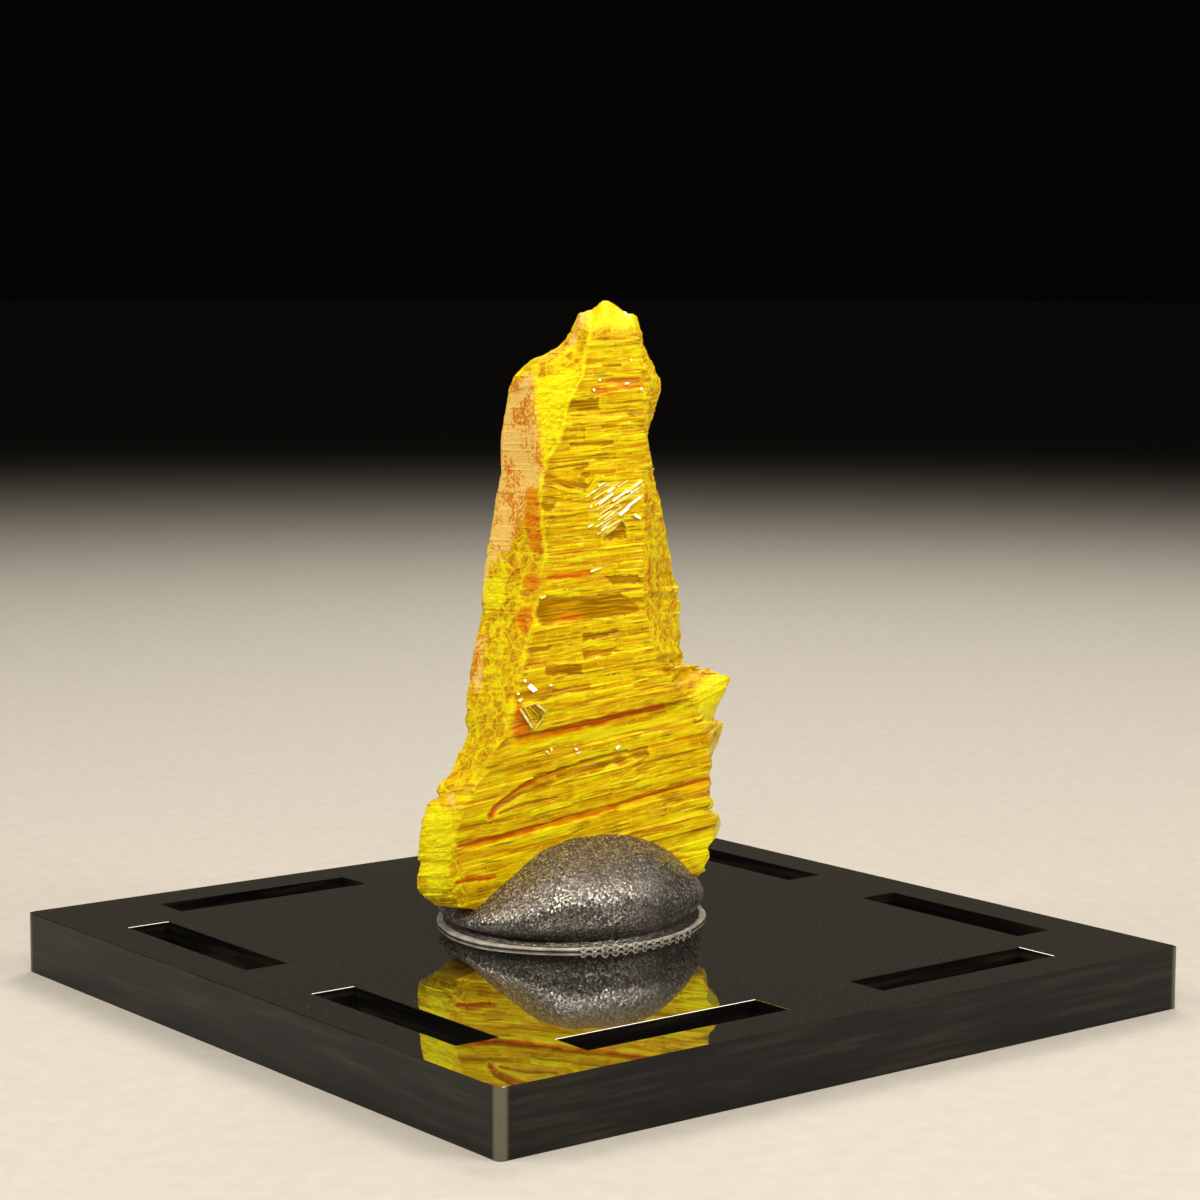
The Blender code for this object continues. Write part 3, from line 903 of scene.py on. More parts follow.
# The ridge where the left flank meets the face, from the top down to the foot's left end.
LEFT_RIDGE = ((590, 331), (584, 358), (583, 375), (576, 389), (569, 400), (565, 417), (560, 439), (550, 455),
              (541, 475), (540, 498), (542, 528), (546, 556), (541, 575), (540, 590), (535, 612), (532, 640),
              (526, 661), (517, 695), (500, 744), (479, 777), (437, 796))
# The line where the right flank begins.
RIGHT_EDGE = ((641, 325), (640, 380), (646, 420), (646, 468), (642, 517), (643, 555), (643, 596), (650, 634),
              (664, 655), (684, 668))
# The specimen's two sides against the background, from the tip down to the putty.
LEFT_OUTLINE = (
    (602, 301), (594, 307), (581, 311), (572, 327), (570, 333), (559, 346), (547, 353), (529, 361),
    (514, 376), (510, 386), (501, 438), (501, 472), (485, 566), (481, 602), (482, 610), (481, 623),
    (476, 640), (470, 674), (470, 682), (466, 697), (467, 711), (465, 720), (468, 733), (462, 749),
    (458, 753), (457, 759), (451, 773), (447, 778), (440, 782), (436, 790), (439, 796), (438, 798),
    (427, 803), (425, 815), (422, 819), (418, 854), (418, 860), (421, 863), (417, 877), (418, 889),
    (424, 897), (435, 905),
)
RIGHT_OUTLINE = (
    (609, 301), (622, 310), (634, 314), (637, 317), (641, 325), (643, 345), (660, 379), (661, 388),
    (647, 437), (649, 449), (654, 468), (653, 474), (656, 488), (660, 500), (663, 516), (668, 543),
    (671, 557), (672, 570), (679, 591), (677, 596), (681, 604), (679, 617), (681, 635), (679, 647),
    (685, 655), (681, 659), (684, 666), (709, 668), (714, 672), (731, 676), (731, 678), (714, 715),
    (714, 720), (723, 722), (724, 724), (718, 743), (711, 758), (712, 767), (709, 772), (712, 784),
    (710, 788), (710, 797), (713, 800), (713, 807), (710, 810), (719, 813), (721, 825), (718, 834),
    (715, 836), (716, 838), (709, 845), (709, 858), (703, 867),
)
# The curved lens on the foot: the ledge over it and the sheet that it ends on.
LENS_TOP = ((488, 820), (494, 806), (509, 794), (528, 781), (557, 769), (589, 759), (620, 752), (648, 746))
LENS_FOOT = ((488, 822), (528, 803), (557, 798), (589, 790), (620, 781), (648, 762))


@dataclass(frozen=True)
class FaceMarks:
    """What the photograph shows on the specimen, by kind."""

    skins: tuple[Patch | Streak, ...] = (
        Patch(((513, 380), (533, 375), (536, 403), (539, 431), (543, 470), (541, 492), (528, 503), (519, 530),
               (508, 548), (498, 560), (487, 566), (492, 520), (498, 470), (502, 420)), 4.0, 3.5),
        Streak(((487, 560), (483, 600)), 2.5, 2.0),
        Streak(((481, 641), (477, 664), (478, 688)), 4.5, 2.5),
        Streak(((585, 312), (577, 330), (571, 343)), 3.0, 2.0),
        Patch(((446, 793), (456, 795), (455, 806), (449, 804)), 1.5, 1.0),
    )
    oranges: tuple[Patch | Streak, ...] = (
        Patch(((527, 486), (541, 488), (544, 553), (531, 551), (525, 520)), 2.5, 1.5),
        Patch(((524, 574), (537, 573), (540, 585), (534, 591), (523, 587)), 1.6, 1.0),
        Patch(((514, 618), (522, 608), (533, 606), (531, 625), (527, 634), (519, 629)), 1.6, 1.0),
        Streak(((595, 391), (641, 385)), 2.5, 2.5),
        Streak(((600, 382), (640, 379)), 1.5, 2.0),
        Streak(((528, 736), (558, 731), (590, 723), (618, 716), (662, 706)), 3.4, 2.6),
        Streak(((575, 727), (618, 716), (640, 711)), 3.6, 1.6),
        Streak(((458, 847), (500, 838), (540, 827), (591, 814), (658, 792), (711, 777)), 1.7, 1.4),
        Streak(((470, 844), (540, 827), (600, 811)), 2.4, 1.4),
        Streak(((454, 882), (475, 878), (494, 877)), 2.4, 1.6),
        Streak(((650, 556), (650, 583)), 0.9, 0.7),
        Streak(((549, 577), (590, 573)), 3.0, 2.5),
        Streak(((560, 618), (580, 615)), 2.6, 2.6),
        Streak(((532, 387), (556, 386)), 1.8, 2.0),
        Streak(((490, 817), (496, 806), (511, 795), (530, 783), (559, 771)), 2.2, 2.4, 0.9),
        Patch(((518, 700), (512, 735), (520, 742), (532, 733), (528, 716)), 4.0, 2.0),
    )
    windows: tuple[Patch | Streak, ...] = (
        Patch(((538, 600), (545, 596), (570, 598), (619, 594), (635, 602), (641, 611), (628, 614), (582, 622),
               (541, 626), (536, 614)), 1.8, 1.0),
        Patch(((606, 577), (638, 575), (640, 583), (613, 585)), 1.5, 1.0),
        Patch(((583, 634), (625, 629), (607, 637), (583, 642)), 1.2, 0.8),
        Patch(((583, 651), (616, 648), (610, 655), (584, 658)), 1.2, 0.8),
        Patch(((546, 666), (582, 664), (582, 674), (545, 676)), 1.5, 0.8),
        Patch(((527, 648), (552, 646), (550, 651), (528, 653)), 1.5, 0.8),
        Patch(((552, 690), (591, 684), (590, 689), (553, 695)), 1.2, 0.8),
        Patch(((601, 541), (626, 538), (624, 521), (612, 532)), 1.8, 0.8),
        Streak(((571, 445), (612, 443)), 1.8, 1.5),
        Streak(((550, 469), (588, 464)), 1.3, 1.0),
        Streak(((547, 479), (585, 489)), 3.6, 2.0),
        Streak(((603, 366), (620, 365)), 1.0, 1.0),
        Patch(((569, 400), (598, 398), (600, 410), (567, 412)), 2.0, 1.5),
        Patch(((537, 503), (556, 503), (553, 512), (538, 513)), 1.8, 1.5),
        Streak(((560, 778), (590, 768), (625, 759), (645, 754)), 3.2, 3.0, 0.8),
        Streak(((500, 806), (525, 792), (556, 782)), 1.6, 2.4, 0.9),
        Streak(((500, 814), (528, 803), (557, 798)), 1.3, 1.0),
        Streak(((682, 853), (709, 849)), 1.2, 0.8),
        Streak(((457, 883), (490, 879)), 1.0, 0.8),
    )
    lemons: tuple[Patch | Streak, ...] = (
        Patch(((583, 318), (606, 300), (636, 313), (642, 325), (620, 328), (590, 327)), 3.0, 2.0),
        Patch(((534, 378), (570, 368), (582, 372), (574, 392), (566, 410), (558, 438), (546, 456), (540, 440),
               (536, 405)), 3.0, 3.0),
        # The two streaks along the left ridge are a painted highlight where the ridge edge catches the light.
        Streak(((590, 331), (584, 358), (583, 375), (569, 400), (560, 439), (550, 455)), 1.6, 1.2),
        Streak(((541, 475), (540, 498), (542, 528), (546, 556)), 1.4, 1.0),
        Streak(((586, 351), (612, 348), (642, 344)), 1.0, 0.9),
        Patch(((484, 578), (503, 577), (505, 600), (498, 609), (483, 607)), 2.5, 2.0),
        Patch(((425, 812), (437, 803), (455, 812), (452, 880), (440, 900), (424, 890), (420, 850)), 5.0, 4.0),
        Patch(((695, 690), (712, 672), (731, 678), (722, 700), (716, 720), (700, 712)), 4.0, 3.0),
        Patch(((690, 838), (720, 825), (718, 845), (700, 868), (680, 850)), 4.0, 3.0),
        Streak(((560, 742), (640, 726), (690, 712)), 2.5, 2.5),
    )
    # Grainy breaks besides the flanks, each with its strength: the lobe, the cap and the fin.
    broken: tuple[tuple[float, Patch], ...] = (
        (0.8, Patch(((415, 800), (437, 800), (462, 812), (455, 840), (462, 870), (470, 905), (415, 905)))),
        (0.75, Patch(((578, 300), (640, 300), (642, 330), (600, 336), (578, 330)))),
        (0.7, Patch(((684, 666), (735, 666), (724, 700), (712, 716), (700, 712), (694, 690)))),
    )
    # The sheets that fan out to the left, by their area.
    fan: Patch = Patch(((545, 473), (592, 478), (590, 500), (545, 498)), 5.0, 1.0)


@dataclass
class OrpimentSpecimen:
    """The fine surface of the specimen, wound round the CAD solid sheet by sheet.

    Levels, insets and patterns are in millimetres. The counts are the grid's rows and the columns
    on each side. What fits the outline is in pixels: the slices it is compared in, the greatest
    shift in one round, the share of the width left alone in the middle, and where the fit begins.
    """

    lowest: float = 3.63
    highest: float = 33.15
    rows: int = 378
    front: int = 124
    right: int = 40
    back: int = 40
    left: int = 56
    inset: float = 1.7
    middle: tuple[tuple[float, float, float], ...] = (
        (3.6, 5.15, 0.1), (3.9, 3.6, 0.2), (4.5, 2.2, 0.4), (6.0, -0.2, 0.6), (12.0, 0.9, 0.9),
        (15.0, 1.4, 1.2), (24.0, 0.9, 1.3), (29.0, 1.1, 1.1), (31.5, 1.8, 1.2), (33.2, 2.1, 1.5))
    marks: FaceMarks = field(default_factory=FaceMarks)
    patterns: tuple[SheetPattern, ...] = (
        SheetPattern(0.62, 4.6, 0.036, 101), SheetPattern(0.23, 2.1, 0.022, 211),
        SheetPattern(0.1, 1.1, 0.012, 331))
    lumps: SheetPattern = SheetPattern(0.34, 0.42, 0.03, 401)
    bits: SheetPattern = SheetPattern(0.14, 0.18, 0.018, 431)
    crown: tuple[Pixel, ...] = (
        (574, 322), (579, 312.5), (590, 309.5), (596, 306), (602, 300.5), (609, 300.5), (616, 305),
        (621, 309), (625, 312), (634, 314), (638, 318), (642, 332))
    crown_foot: float = 345.0
    fan_root: float = 547.0
    fan_rise: float = 0.34
    lens_sheets: float = 1.2
    lens_recess: float = 0.13
    pixels_per_mm: float = 20.8
    reach_share: float = 0.926
    fit_rounds: int = 3
    slice_height: float = 1.5
    greatest_shift: float = 9.0
    middle_share: float = 0.45
    fit_from: Pixel = (318, 340)

    def solid(self) -> BVHTree:
        """Returns the CAD solid in the specimen's frame, ready for measuring."""
        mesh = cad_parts["orpiment"].data
        points = np.array([vert.co for vert in mesh.vertices]) / MM
        local = SPECIMEN_FRAME.from_row(points)
        return BVHTree.FromPolygons([Vector(p) for p in local], [tuple(p.vertices) for p in mesh.polygons])

    def reach_out(self, solid: BVHTree, level: float, start: Numbers, way: Numbers) -> Numbers:
        """Follows a sheet outwards from inside the solid to its surface.

        Args:
            solid: the CAD solid.
            level: the sheet's level.
            start: reach and depth inside the solid.
            way: direction in reach and depth.

        Returns:
            Reach and depth at the surface.
        """
        rise = float(SPECIMEN_FRAME.rise(level))
        origin = Vector((start[0], start[1], level + rise * start[0]))
        hit = solid.ray_cast(origin, Vector((way[0], way[1], rise * way[0])))[0]
        return np.array(hit[:2]) if hit else start.copy()

    def spine(self, solid: BVHTree, levels: Numbers) -> tuple[Numbers, Numbers]:
        """Finds the two ends of a line well inside each sheet, from which its rim is measured."""
        ends = []
        for level in levels:
            centre = np.array([np.interp(level, *zip(*[(m[0], m[k]) for m in self.middle])) for k in (1, 2)])
            left = self.reach_out(solid, level, centre, np.array([-1.0, 0.0]))[0]
            right = self.reach_out(solid, level, centre, np.array([1.0, 0.0]))[0]
            inset = min(self.inset, 0.36 * (right - left))
            ends.append([left + inset, right - inset, centre[1]])
        smooth = np.array(ends)
        padded = np.pad(smooth, ((8, 8), (0, 0)), mode="edge")
        smooth = np.stack([padded[k:k + len(smooth)] for k in range(17)]).mean(axis=0)
        return smooth[:, [0, 2]], smooth[:, [1, 2]]

    def wrap(self) -> tuple[Numbers, Numbers]:
        """Measures the solid's rim on every sheet.

        Returns:
            A grid of reach, depth and height, and the level of each row.
        """
        solid = self.solid()
        levels = np.linspace(self.lowest, self.highest, self.rows)
        lefts, rights = self.spine(solid, levels)
        grid = np.zeros((self.rows, self.front + self.right + self.back + self.left, 3))
        shares = [np.linspace(0, 1, count, endpoint=False) for count in
                  (self.front, self.right, self.back, self.left)]
        for row, level in enumerate(levels):
            left, right = lefts[row], rights[row]
            starts = [left + shares[0][:, None] * (right - left), np.repeat(right[None], self.right, 0),
                      right + shares[2][:, None] * (left - right), np.repeat(left[None], self.left, 0)]
            turns = [np.full(self.front, -90.0), -90 + 180 * shares[1], np.full(self.back, 90.0),
                     90 + 180 * shares[3]]
            starts, turns = np.vstack(starts), np.radians(np.concatenate(turns))
            ways = np.stack([np.cos(turns), np.sin(turns)], axis=1)
            for column in range(grid.shape[1]):
                grid[row, column, :2] = self.reach_out(solid, level, starts[column], ways[column])
            grid[row, :, 2] = level + SPECIMEN_FRAME.rise(level) * grid[row, :, 0]
        return grid, levels

    def outward(self, grid: Numbers) -> Numbers:
        """Returns directions out of the rim, in reach and depth."""
        soft = np.stack([blur(grid[..., k], 3, 2) for k in (0, 1)], axis=-1)
        along = np.roll(soft, -2, axis=1) - np.roll(soft, 2, axis=1)
        out = np.stack([along[..., 1], -along[..., 0]], axis=-1)
        return out / np.maximum(np.linalg.norm(out, axis=-1, keepdims=True), 1e-9)

    def run_along(self, grid: Numbers) -> Numbers:
        """Returns the distance round the rim from the middle of the face."""
        soft = np.stack([blur(grid[..., k], 3, 1) for k in (0, 1)], axis=-1)
        steps = np.linalg.norm(np.roll(soft, -1, axis=1) - soft, axis=-1)
        start = self.front // 2
        rolled = np.roll(steps, -start, axis=1)
        along = np.concatenate([np.zeros((len(grid), 1)), np.cumsum(rolled, axis=1)[:, :-1]], axis=1)
        half = along.shape[1] // 2
        along[:, half:] -= rolled.sum(axis=1, keepdims=True)
        along = np.roll(along, start, axis=1)
        return along + np.round(grid[:, start:start + 1, 0] * 20) / 20

    def build(self) -> bpy.types.Object:
        """Makes the surface, carves its relief and paints its marks."""
        grid, levels = self.wrap()
        facing = self.facing(self.outward(grid))
        covers = self.covers(CAMERA.pixels(SPECIMEN_FRAME.to_row(grid)), facing)
        flat = np.maximum(covers[Mark.SKIN], 0.5 * covers[Mark.GRAIN])[..., None]
        soft = np.stack([blur(grid[..., k], 9, 1) for k in (0, 1)], axis=-1)
        grid[..., :2] += flat * (soft - grid[..., :2])
        self.fit_outline(grid, levels)
        out = self.outward(grid)
        along = self.run_along(grid)
        pixels = CAMERA.pixels(SPECIMEN_FRAME.to_row(grid))
        facing = self.facing(out)
        covers = self.covers(pixels, facing)
        level = np.repeat(levels[:, None], grid.shape[1], axis=1)
        level = level + self.bends(along, level, pixels, facing)
        depth, tone = self.relief(along, level, pixels, facing, covers)
        grid[..., :2] += out * depth[..., None]
        self.lay_on_sheets(grid, levels)
        grid[..., 2] += self.crown_lift(pixels)
        # Painted shade and light: a point lower than its surroundings is coloured darker, a higher one
        # lighter.
        hollow = depth - blur(depth, 4, 5)
        covers[Mark.RELIEF] = np.clip(0.5 + hollow / 0.06, 0, 1)
        covers[Mark.TONE] = tone
        piece = self.mesh(grid, along, level, covers)
        return finish_piece(piece, "orpiment_crystal", CleavedOrpiment().material(),
                            "orpiment")

    def crown_lift(self, pixels: Numbers) -> Numbers:
        """Returns how far each point rises to give the top the outline that the photograph shows."""
        x, y = pixels[..., 0], pixels[..., 1]
        columns = np.arange(self.crown[0][0], self.crown[-1][0] + 1, 2.0)
        tops = [y[np.abs(x - column) < 1.5].min() for column in columns]
        lift = np.interp(x, columns, tops) - np.interp(x, *zip(*self.crown))
        ends = ease(columns[0] - 4, columns[0] + 2, x) * ease(columns[-1] + 4, columns[-1] - 2, x)
        return lift * ends * ease(self.crown_foot, self.crown_foot - 25, y) / self.pixels_per_mm

    def lay_on_sheets(self, grid: Numbers, levels: Numbers) -> None:
        """Gives each point of the grid the height of its sheet."""
        grid[..., 2] = levels[:, None] + SPECIMEN_FRAME.rise(levels)[:, None] * grid[..., 0]

    def fit_outline(self, grid: Numbers, levels: Numbers) -> None:
        """Shifts the sides along the face until the outline is the one in the photograph."""
        for _ in range(self.fit_rounds):
            pixels = CAMERA.pixels(SPECIMEN_FRAME.to_row(grid))
            x, y = pixels[..., 0], pixels[..., 1]
            line = np.floor((y - y.min()) / self.slice_height).astype(int)
            heights = y.min() + self.slice_height * (np.arange(line.max() + 1) + 0.5)
            left, right = np.full(len(heights), 2000.0), np.full(len(heights), -2000.0)
            np.minimum.at(left, line, x)
            np.maximum.at(right, line, x)
            middle = (left + right)[line] / 2
            share = (x - middle) / np.maximum((right - left)[line] / 2, 1)
            gap_left = across_at(LEFT_OUTLINE, heights) - left
            gap_right = across_at(RIGHT_OUTLINE, heights) - right
            gap_left *= ease(LEFT_OUTLINE[-1][1] + 4, LEFT_OUTLINE[-1][1] - 6, heights)
            gap_right *= ease(RIGHT_OUTLINE[-1][1] + 6, RIGHT_OUTLINE[-1][1] - 6, heights)
            most = self.greatest_shift
            shift = (np.clip(gap_left, -most, most)[line] * ease(-self.middle_share, -1, share)
                     + np.clip(gap_right, -most, most)[line] * ease(self.middle_share, 1, share))
            grid[..., 0] += shift * ease(*self.fit_from, y) / (self.pixels_per_mm * self.reach_share)
            self.lay_on_sheets(grid, levels)

    def facing(self, out: Numbers) -> Numbers:
        """Returns 1 where the surface faces the photograph's camera, -1 where it faces away."""
        towards = SPECIMEN_FRAME.from_row(np.array([*CAMERA.place[:2], 0.0]))[:2]
        return out @ (towards / np.linalg.norm(towards))

    def covers(self, pixels: Numbers, facing: Numbers) -> dict[Mark, Numbers]:
        """Returns each mark's strength over the grid."""
        seen = ease(-0.05, 0.15, facing)
        found = {}
        for mark, shapes in ((Mark.SKIN, self.marks.skins), (Mark.ORANGE, self.marks.oranges),
                             (Mark.WINDOW, self.marks.windows), (Mark.LEMON, self.marks.lemons)):
            found[mark] = np.max([shape.cover(pixels) for shape in shapes], axis=0) * seen
        x, y = pixels[..., 0], pixels[..., 1]
        left = ease(2, -2, x - across_at(LEFT_RIDGE, y)) * (y < 800)
        right = ease(-2, 3, x - across_at(RIGHT_EDGE, y)) * ease(700, 660, y) * (y > 330)
        broken = [strength * patch.cover(pixels) for strength, patch in self.marks.broken]
        flanks = np.maximum.reduce([left, right, *broken]) * seen
        found[Mark.GRAIN] = np.maximum(flanks, (1 - seen) * 0.35)
        found[Mark.LEMON] *= 0.75
        return found

    def bends(self, along: Numbers, level: Numbers, pixels: Numbers, facing: Numbers) -> Numbers:
        """Returns how far the sheets wander from level, in millimetres."""
        wander = 0.09 * cloud(along / 3.1, level / 2.3, 51) + 0.03 * cloud(along / 0.9, level / 0.8, 52)
        fan = self.marks.fan.cover(pixels) * (facing > 0)
        wander += self.fan_rise * fan * (pixels[..., 0] - self.fan_root) / self.pixels_per_mm
        share, inside = self.lens_share(pixels)
        lens = inside & (facing > 0)
        base = np.median(level[lens & (share > 0.9)])
        return np.where(lens, base + (1 - share) * self.lens_sheets - level, wander)

    def lens_share(self, pixels: Numbers) -> tuple[Numbers, Numbers]:
        """Returns how far down each point is in the curved lens on the foot, and which are in it."""
        x, y = pixels[..., 0], pixels[..., 1]
        top, low = np.interp(x, *zip(*LENS_TOP)), np.interp(x, *zip(*LENS_FOOT))
        inside = (x > LENS_TOP[0][0]) & (x < LENS_TOP[-1][0]) & (y > top) & (y < low)
        return np.clip((y - top) / np.maximum(low - top, 1), 0, 1), inside

    def relief(self, along: Numbers, level: Numbers, pixels: Numbers, facing: Numbers,
               covers: dict[Mark, Numbers]) -> tuple[Numbers, Numbers]:
        """Carves the sheets, the grainy flanks, the panes and the ledges.

        Returns:
            How far each point stands out in millimetres, and a value for each run from 0 to 1 that is lighter
            the further the run stands out: part random, part painted shade.
        """
        grain, skin = covers[Mark.GRAIN], covers[Mark.SKIN]
        pane = covers[Mark.WINDOW]
        stands = [blur(pattern.stand(along, level), 0, 1) for pattern in self.patterns]
        strength = 0.75 + 0.5 * cloud(along / 2.7, level / 1.9, 61)
        behind = 1 + 2.5 * ease(-0.15, -0.6, facing)
        fibrous = (stands[0] * behind + stands[1] * strength * behind + stands[2]) * (1 - 0.85 * pane)
        lumps = self.lumps.stand(along, level + 0.3 * cloud(along, level, 62))
        bits = self.bits.stand(along, level + 0.12 * cloud(along * 3, level * 3, 63))
        rough = lumps + bits + 0.025 * cloud(along / 0.16, level / 0.13, 64)
        smooth = 0.05 * cloud(along / 0.9, level / 0.9, 65) + 0.02 * cloud(along / 0.25, level / 0.25, 66)
        depth = fibrous * (1 - 0.8 * grain) + rough * grain * (1 - skin) + smooth * skin
        depth = depth * (1 - 0.6 * skin) - 0.07 * pane - 0.035 * covers[Mark.ORANGE] * (1 - grain)
        ridge = Streak(LEFT_RIDGE[:13], 1.6, 1.4, 0.2).cover(pixels) * (facing > 0)
        share, inside = self.lens_share(pixels)
        depth += 0.045 * ridge - self.lens_recess * (1 - share) * (inside & (facing > 0))
        # Part random, part painted shade: the colour value follows how far each run stands out.
        tone = 0.5 + stands[1] / (2 * self.patterns[1].step) * 0.6
        tone = tone + stands[2] / (2 * self.patterns[2].step) * 0.4
        return depth, np.clip(tone, 0, 1)

    def mesh(self, grid: Numbers, along: Numbers, level: Numbers,
             covers: dict[Mark, Numbers]) -> bpy.types.Object:
        """Winds a sheet of faces round the specimen, closes it and stores the marks on it."""
        rows, columns = grid.shape[:2]
        deselect()
        bpy.ops.mesh.primitive_grid_add(x_subdivisions=columns, y_subdivisions=rows - 1, size=1.0)
        piece = bpy.context.active_object
        mesh = piece.data
        places = np.zeros(len(mesh.vertices) * 3)
        mesh.vertices.foreach_get("co", places)
        places = places.reshape(-1, 3)
        column = np.rint((places[:, 0] + 0.5) * columns).astype(int)
        row = np.rint((places[:, 1] + 0.5) * (rows - 1)).astype(int)
        wrapped = column % columns
        mesh.vertices.foreach_set("co", (SPECIMEN_FRAME.to_row(grid)[row, wrapped] * MM).ravel())
        for mark, values in covers.items():
            attribute = mesh.attributes.new(mark.value, "FLOAT", "POINT")
            attribute.data.foreach_set("value", values[row, wrapped].astype(np.float32))
        corner_verts = np.zeros(len(mesh.loops), int)
        mesh.loops.foreach_get("vertex_index", corner_verts)
        sheets = np.stack([along[row, wrapped], level[row, wrapped]], axis=1)[corner_verts] / SHEETS_UNIT
        mesh.uv_layers[0].name = SHEETS
        mesh.uv_layers[0].uv.foreach_set("vector", sheets.astype(np.float32).ravel())
        bpy.ops.object.mode_set(mode="EDIT")
        bpy.ops.mesh.select_all(action="SELECT")
        bpy.ops.mesh.remove_doubles(threshold=1e-7)
        bpy.ops.mesh.select_all(action="DESELECT")
        bpy.ops.mesh.select_mode(type="VERT")
        bpy.ops.mesh.select_non_manifold()
        bpy.ops.mesh.edge_face_add()
        bpy.ops.mesh.poke()
        bpy.ops.mesh.select_all(action="SELECT")
        bpy.ops.mesh.normals_make_consistent(inside=False)
        bpy.ops.object.mode_set(mode="OBJECT")
        return piece


class Touch:
    """Finds the places of a piece's surface that show at pixels of the photograph."""

    from_camera: float = 138.0

    def __init__(self, piece: bpy.types.Object) -> None:
        """Reads the piece's surface, in millimetres."""
        points = [vert.co / MM for vert in piece.data.vertices]
        self.tree = BVHTree.FromPolygons(points, [tuple(p.vertices) for p in piece.data.polygons])

    def at(self, pixel: Pixel, lift: float = 0.0) -> Vector:
        """Returns the place under a pixel, a little towards the camera if lifted."""
        start, way = CAMERA.ray(pixel)
        hit = self.tree.ray_cast(start, way)[0]
        if hit is None:
            hit = self.tree.find_nearest(start + way * self.from_camera)[0]
        return hit - way * lift


@dataclass(frozen=True)
class Lath:
    """A thin strip of a sheet, by the pixels of its ends and its width in millimetres."""

    start: Pixel
    end: Pixel
    wide: float
    lift: float = 0.05


FLASHING_LATHS = (
    Lath((613, 501), (629, 489), 0.10, 0.12), Lath((626, 492), (642.5, 480), 0.19, 0.12),
    Lath((631, 492.5), (643, 485), 0.11, 0.1), Lath((599, 504), (614, 493), 0.12, 0.1),
    Lath((607.5, 492), (615, 487), 0.12, 0.12), Lath((619.5, 515), (629, 507), 0.19, 0.1),
    Lath((626, 508), (642.5, 495.5), 0.12, 0.1), Lath((599, 486), (605, 482.5), 0.1, 0.1),
    Lath((591.5, 493), (595, 490.5), 0.08, 0.08), Lath((601, 530.5), (607.5, 526), 0.09, 0.1),
    Lath((588, 527.5), (593, 524), 0.07, 0.08), Lath((590, 508), (592, 504.5), 0.09, 0.08),
    Lath((634, 514.5), (641.5, 518.5), 0.15, 0.1), Lath((520.5, 709), (533, 728.5), 0.13, 0.2),
    Lath((536, 703.5), (546, 711.5), 0.12, 0.18), Lath((519, 701), (522.5, 698.5), 0.15, 0.12),
    Lath((576.5, 753.5), (581.5, 751.5), 0.1, 0.1), Lath((546.5, 751), (549.5, 754.5), 0.1, 0.1),
    Lath((591, 571.5), (601.5, 567.5), 0.11, 0.12), Lath((541, 598), (546, 595.5), 0.13, 0.12),
    Lath((616, 749), (620, 745.5), 0.14, 0.12), Lath((596, 658), (600, 656), 0.08, 0.1),
)
YELLOW_LATHS = (
    Lath((586, 497), (606, 483), 0.09), Lath((600, 488), (646, 469), 0.1),
    Lath((593, 499), (620, 482), 0.08), Lath((618, 487), (628, 480.5), 0.1),
    Lath((595, 505), (616, 489), 0.09), Lath((596, 510), (611, 501), 0.08),
    Lath((608, 509), (640, 488), 0.1), Lath((600, 514), (624, 497), 0.09),
    Lath((622, 501), (643, 489), 0.08), Lath((598, 520), (612, 510), 0.1),
    Lath((604, 520), (622, 506), 0.09), Lath((596, 527), (618, 513), 0.1),
    Lath((597, 534), (622, 519), 0.12), Lath((601, 528), (612, 519.5), 0.07),
    Lath((606, 534), (616, 527), 0.08), Lath((612, 501), (624, 492), 0.07),
    Lath((629, 504), (643, 494), 0.07), Lath((610, 515), (616, 511), 0.2),
    Lath((622, 519), (628, 529), 0.07), Lath((524.5, 706.5), (535, 727), 0.06, 0.24),
    Lath((546, 712), (542.5, 719), 0.06, 0.16), Lath((543, 718), (534, 730), 0.06, 0.2),
    Lath((523, 707), (536, 703.5), 0.06, 0.16), Lath((529, 706), (539, 716), 0.05, 0.22),
)
FLASHING_PANES = (
    ((530.5, 683.5), (537.5, 690), (533.5, 692.5), (528, 688)),
    ((550, 684.5), (552, 684.5), (552, 686.5), (550, 686)),
    ((517.5, 693), (519.5, 693), (519, 695), (517.5, 695)),
    ((550.5, 748.5), (552.5, 749), (551.5, 751.5)),
    ((575.5, 748.5), (577.5, 748.5), (577.5, 750.5), (575.5, 750)),
    ((624, 312), (626, 312), (625.5, 316), (623.5, 315)),
    ((593, 389), (595, 389), (595, 391.5), (593, 391)),
    ((625, 383), (629, 382.5), (629, 384), (625, 384.5)),
    ((599, 379.5), (601, 379), (600.5, 381), (598.5, 381)),
    ((640, 388), (643, 388), (643, 390), (640, 390)),
    ((630.5, 359), (632, 359), (632, 361), (630.5, 360.5)),
    ((524, 680), (526.5, 680), (526, 682.5), (524, 682)),
)
DARK_PANES = (((531, 706), (536, 706.5), (542.5, 716), (541.5, 719), (537, 716.5), (531.5, 709)),)


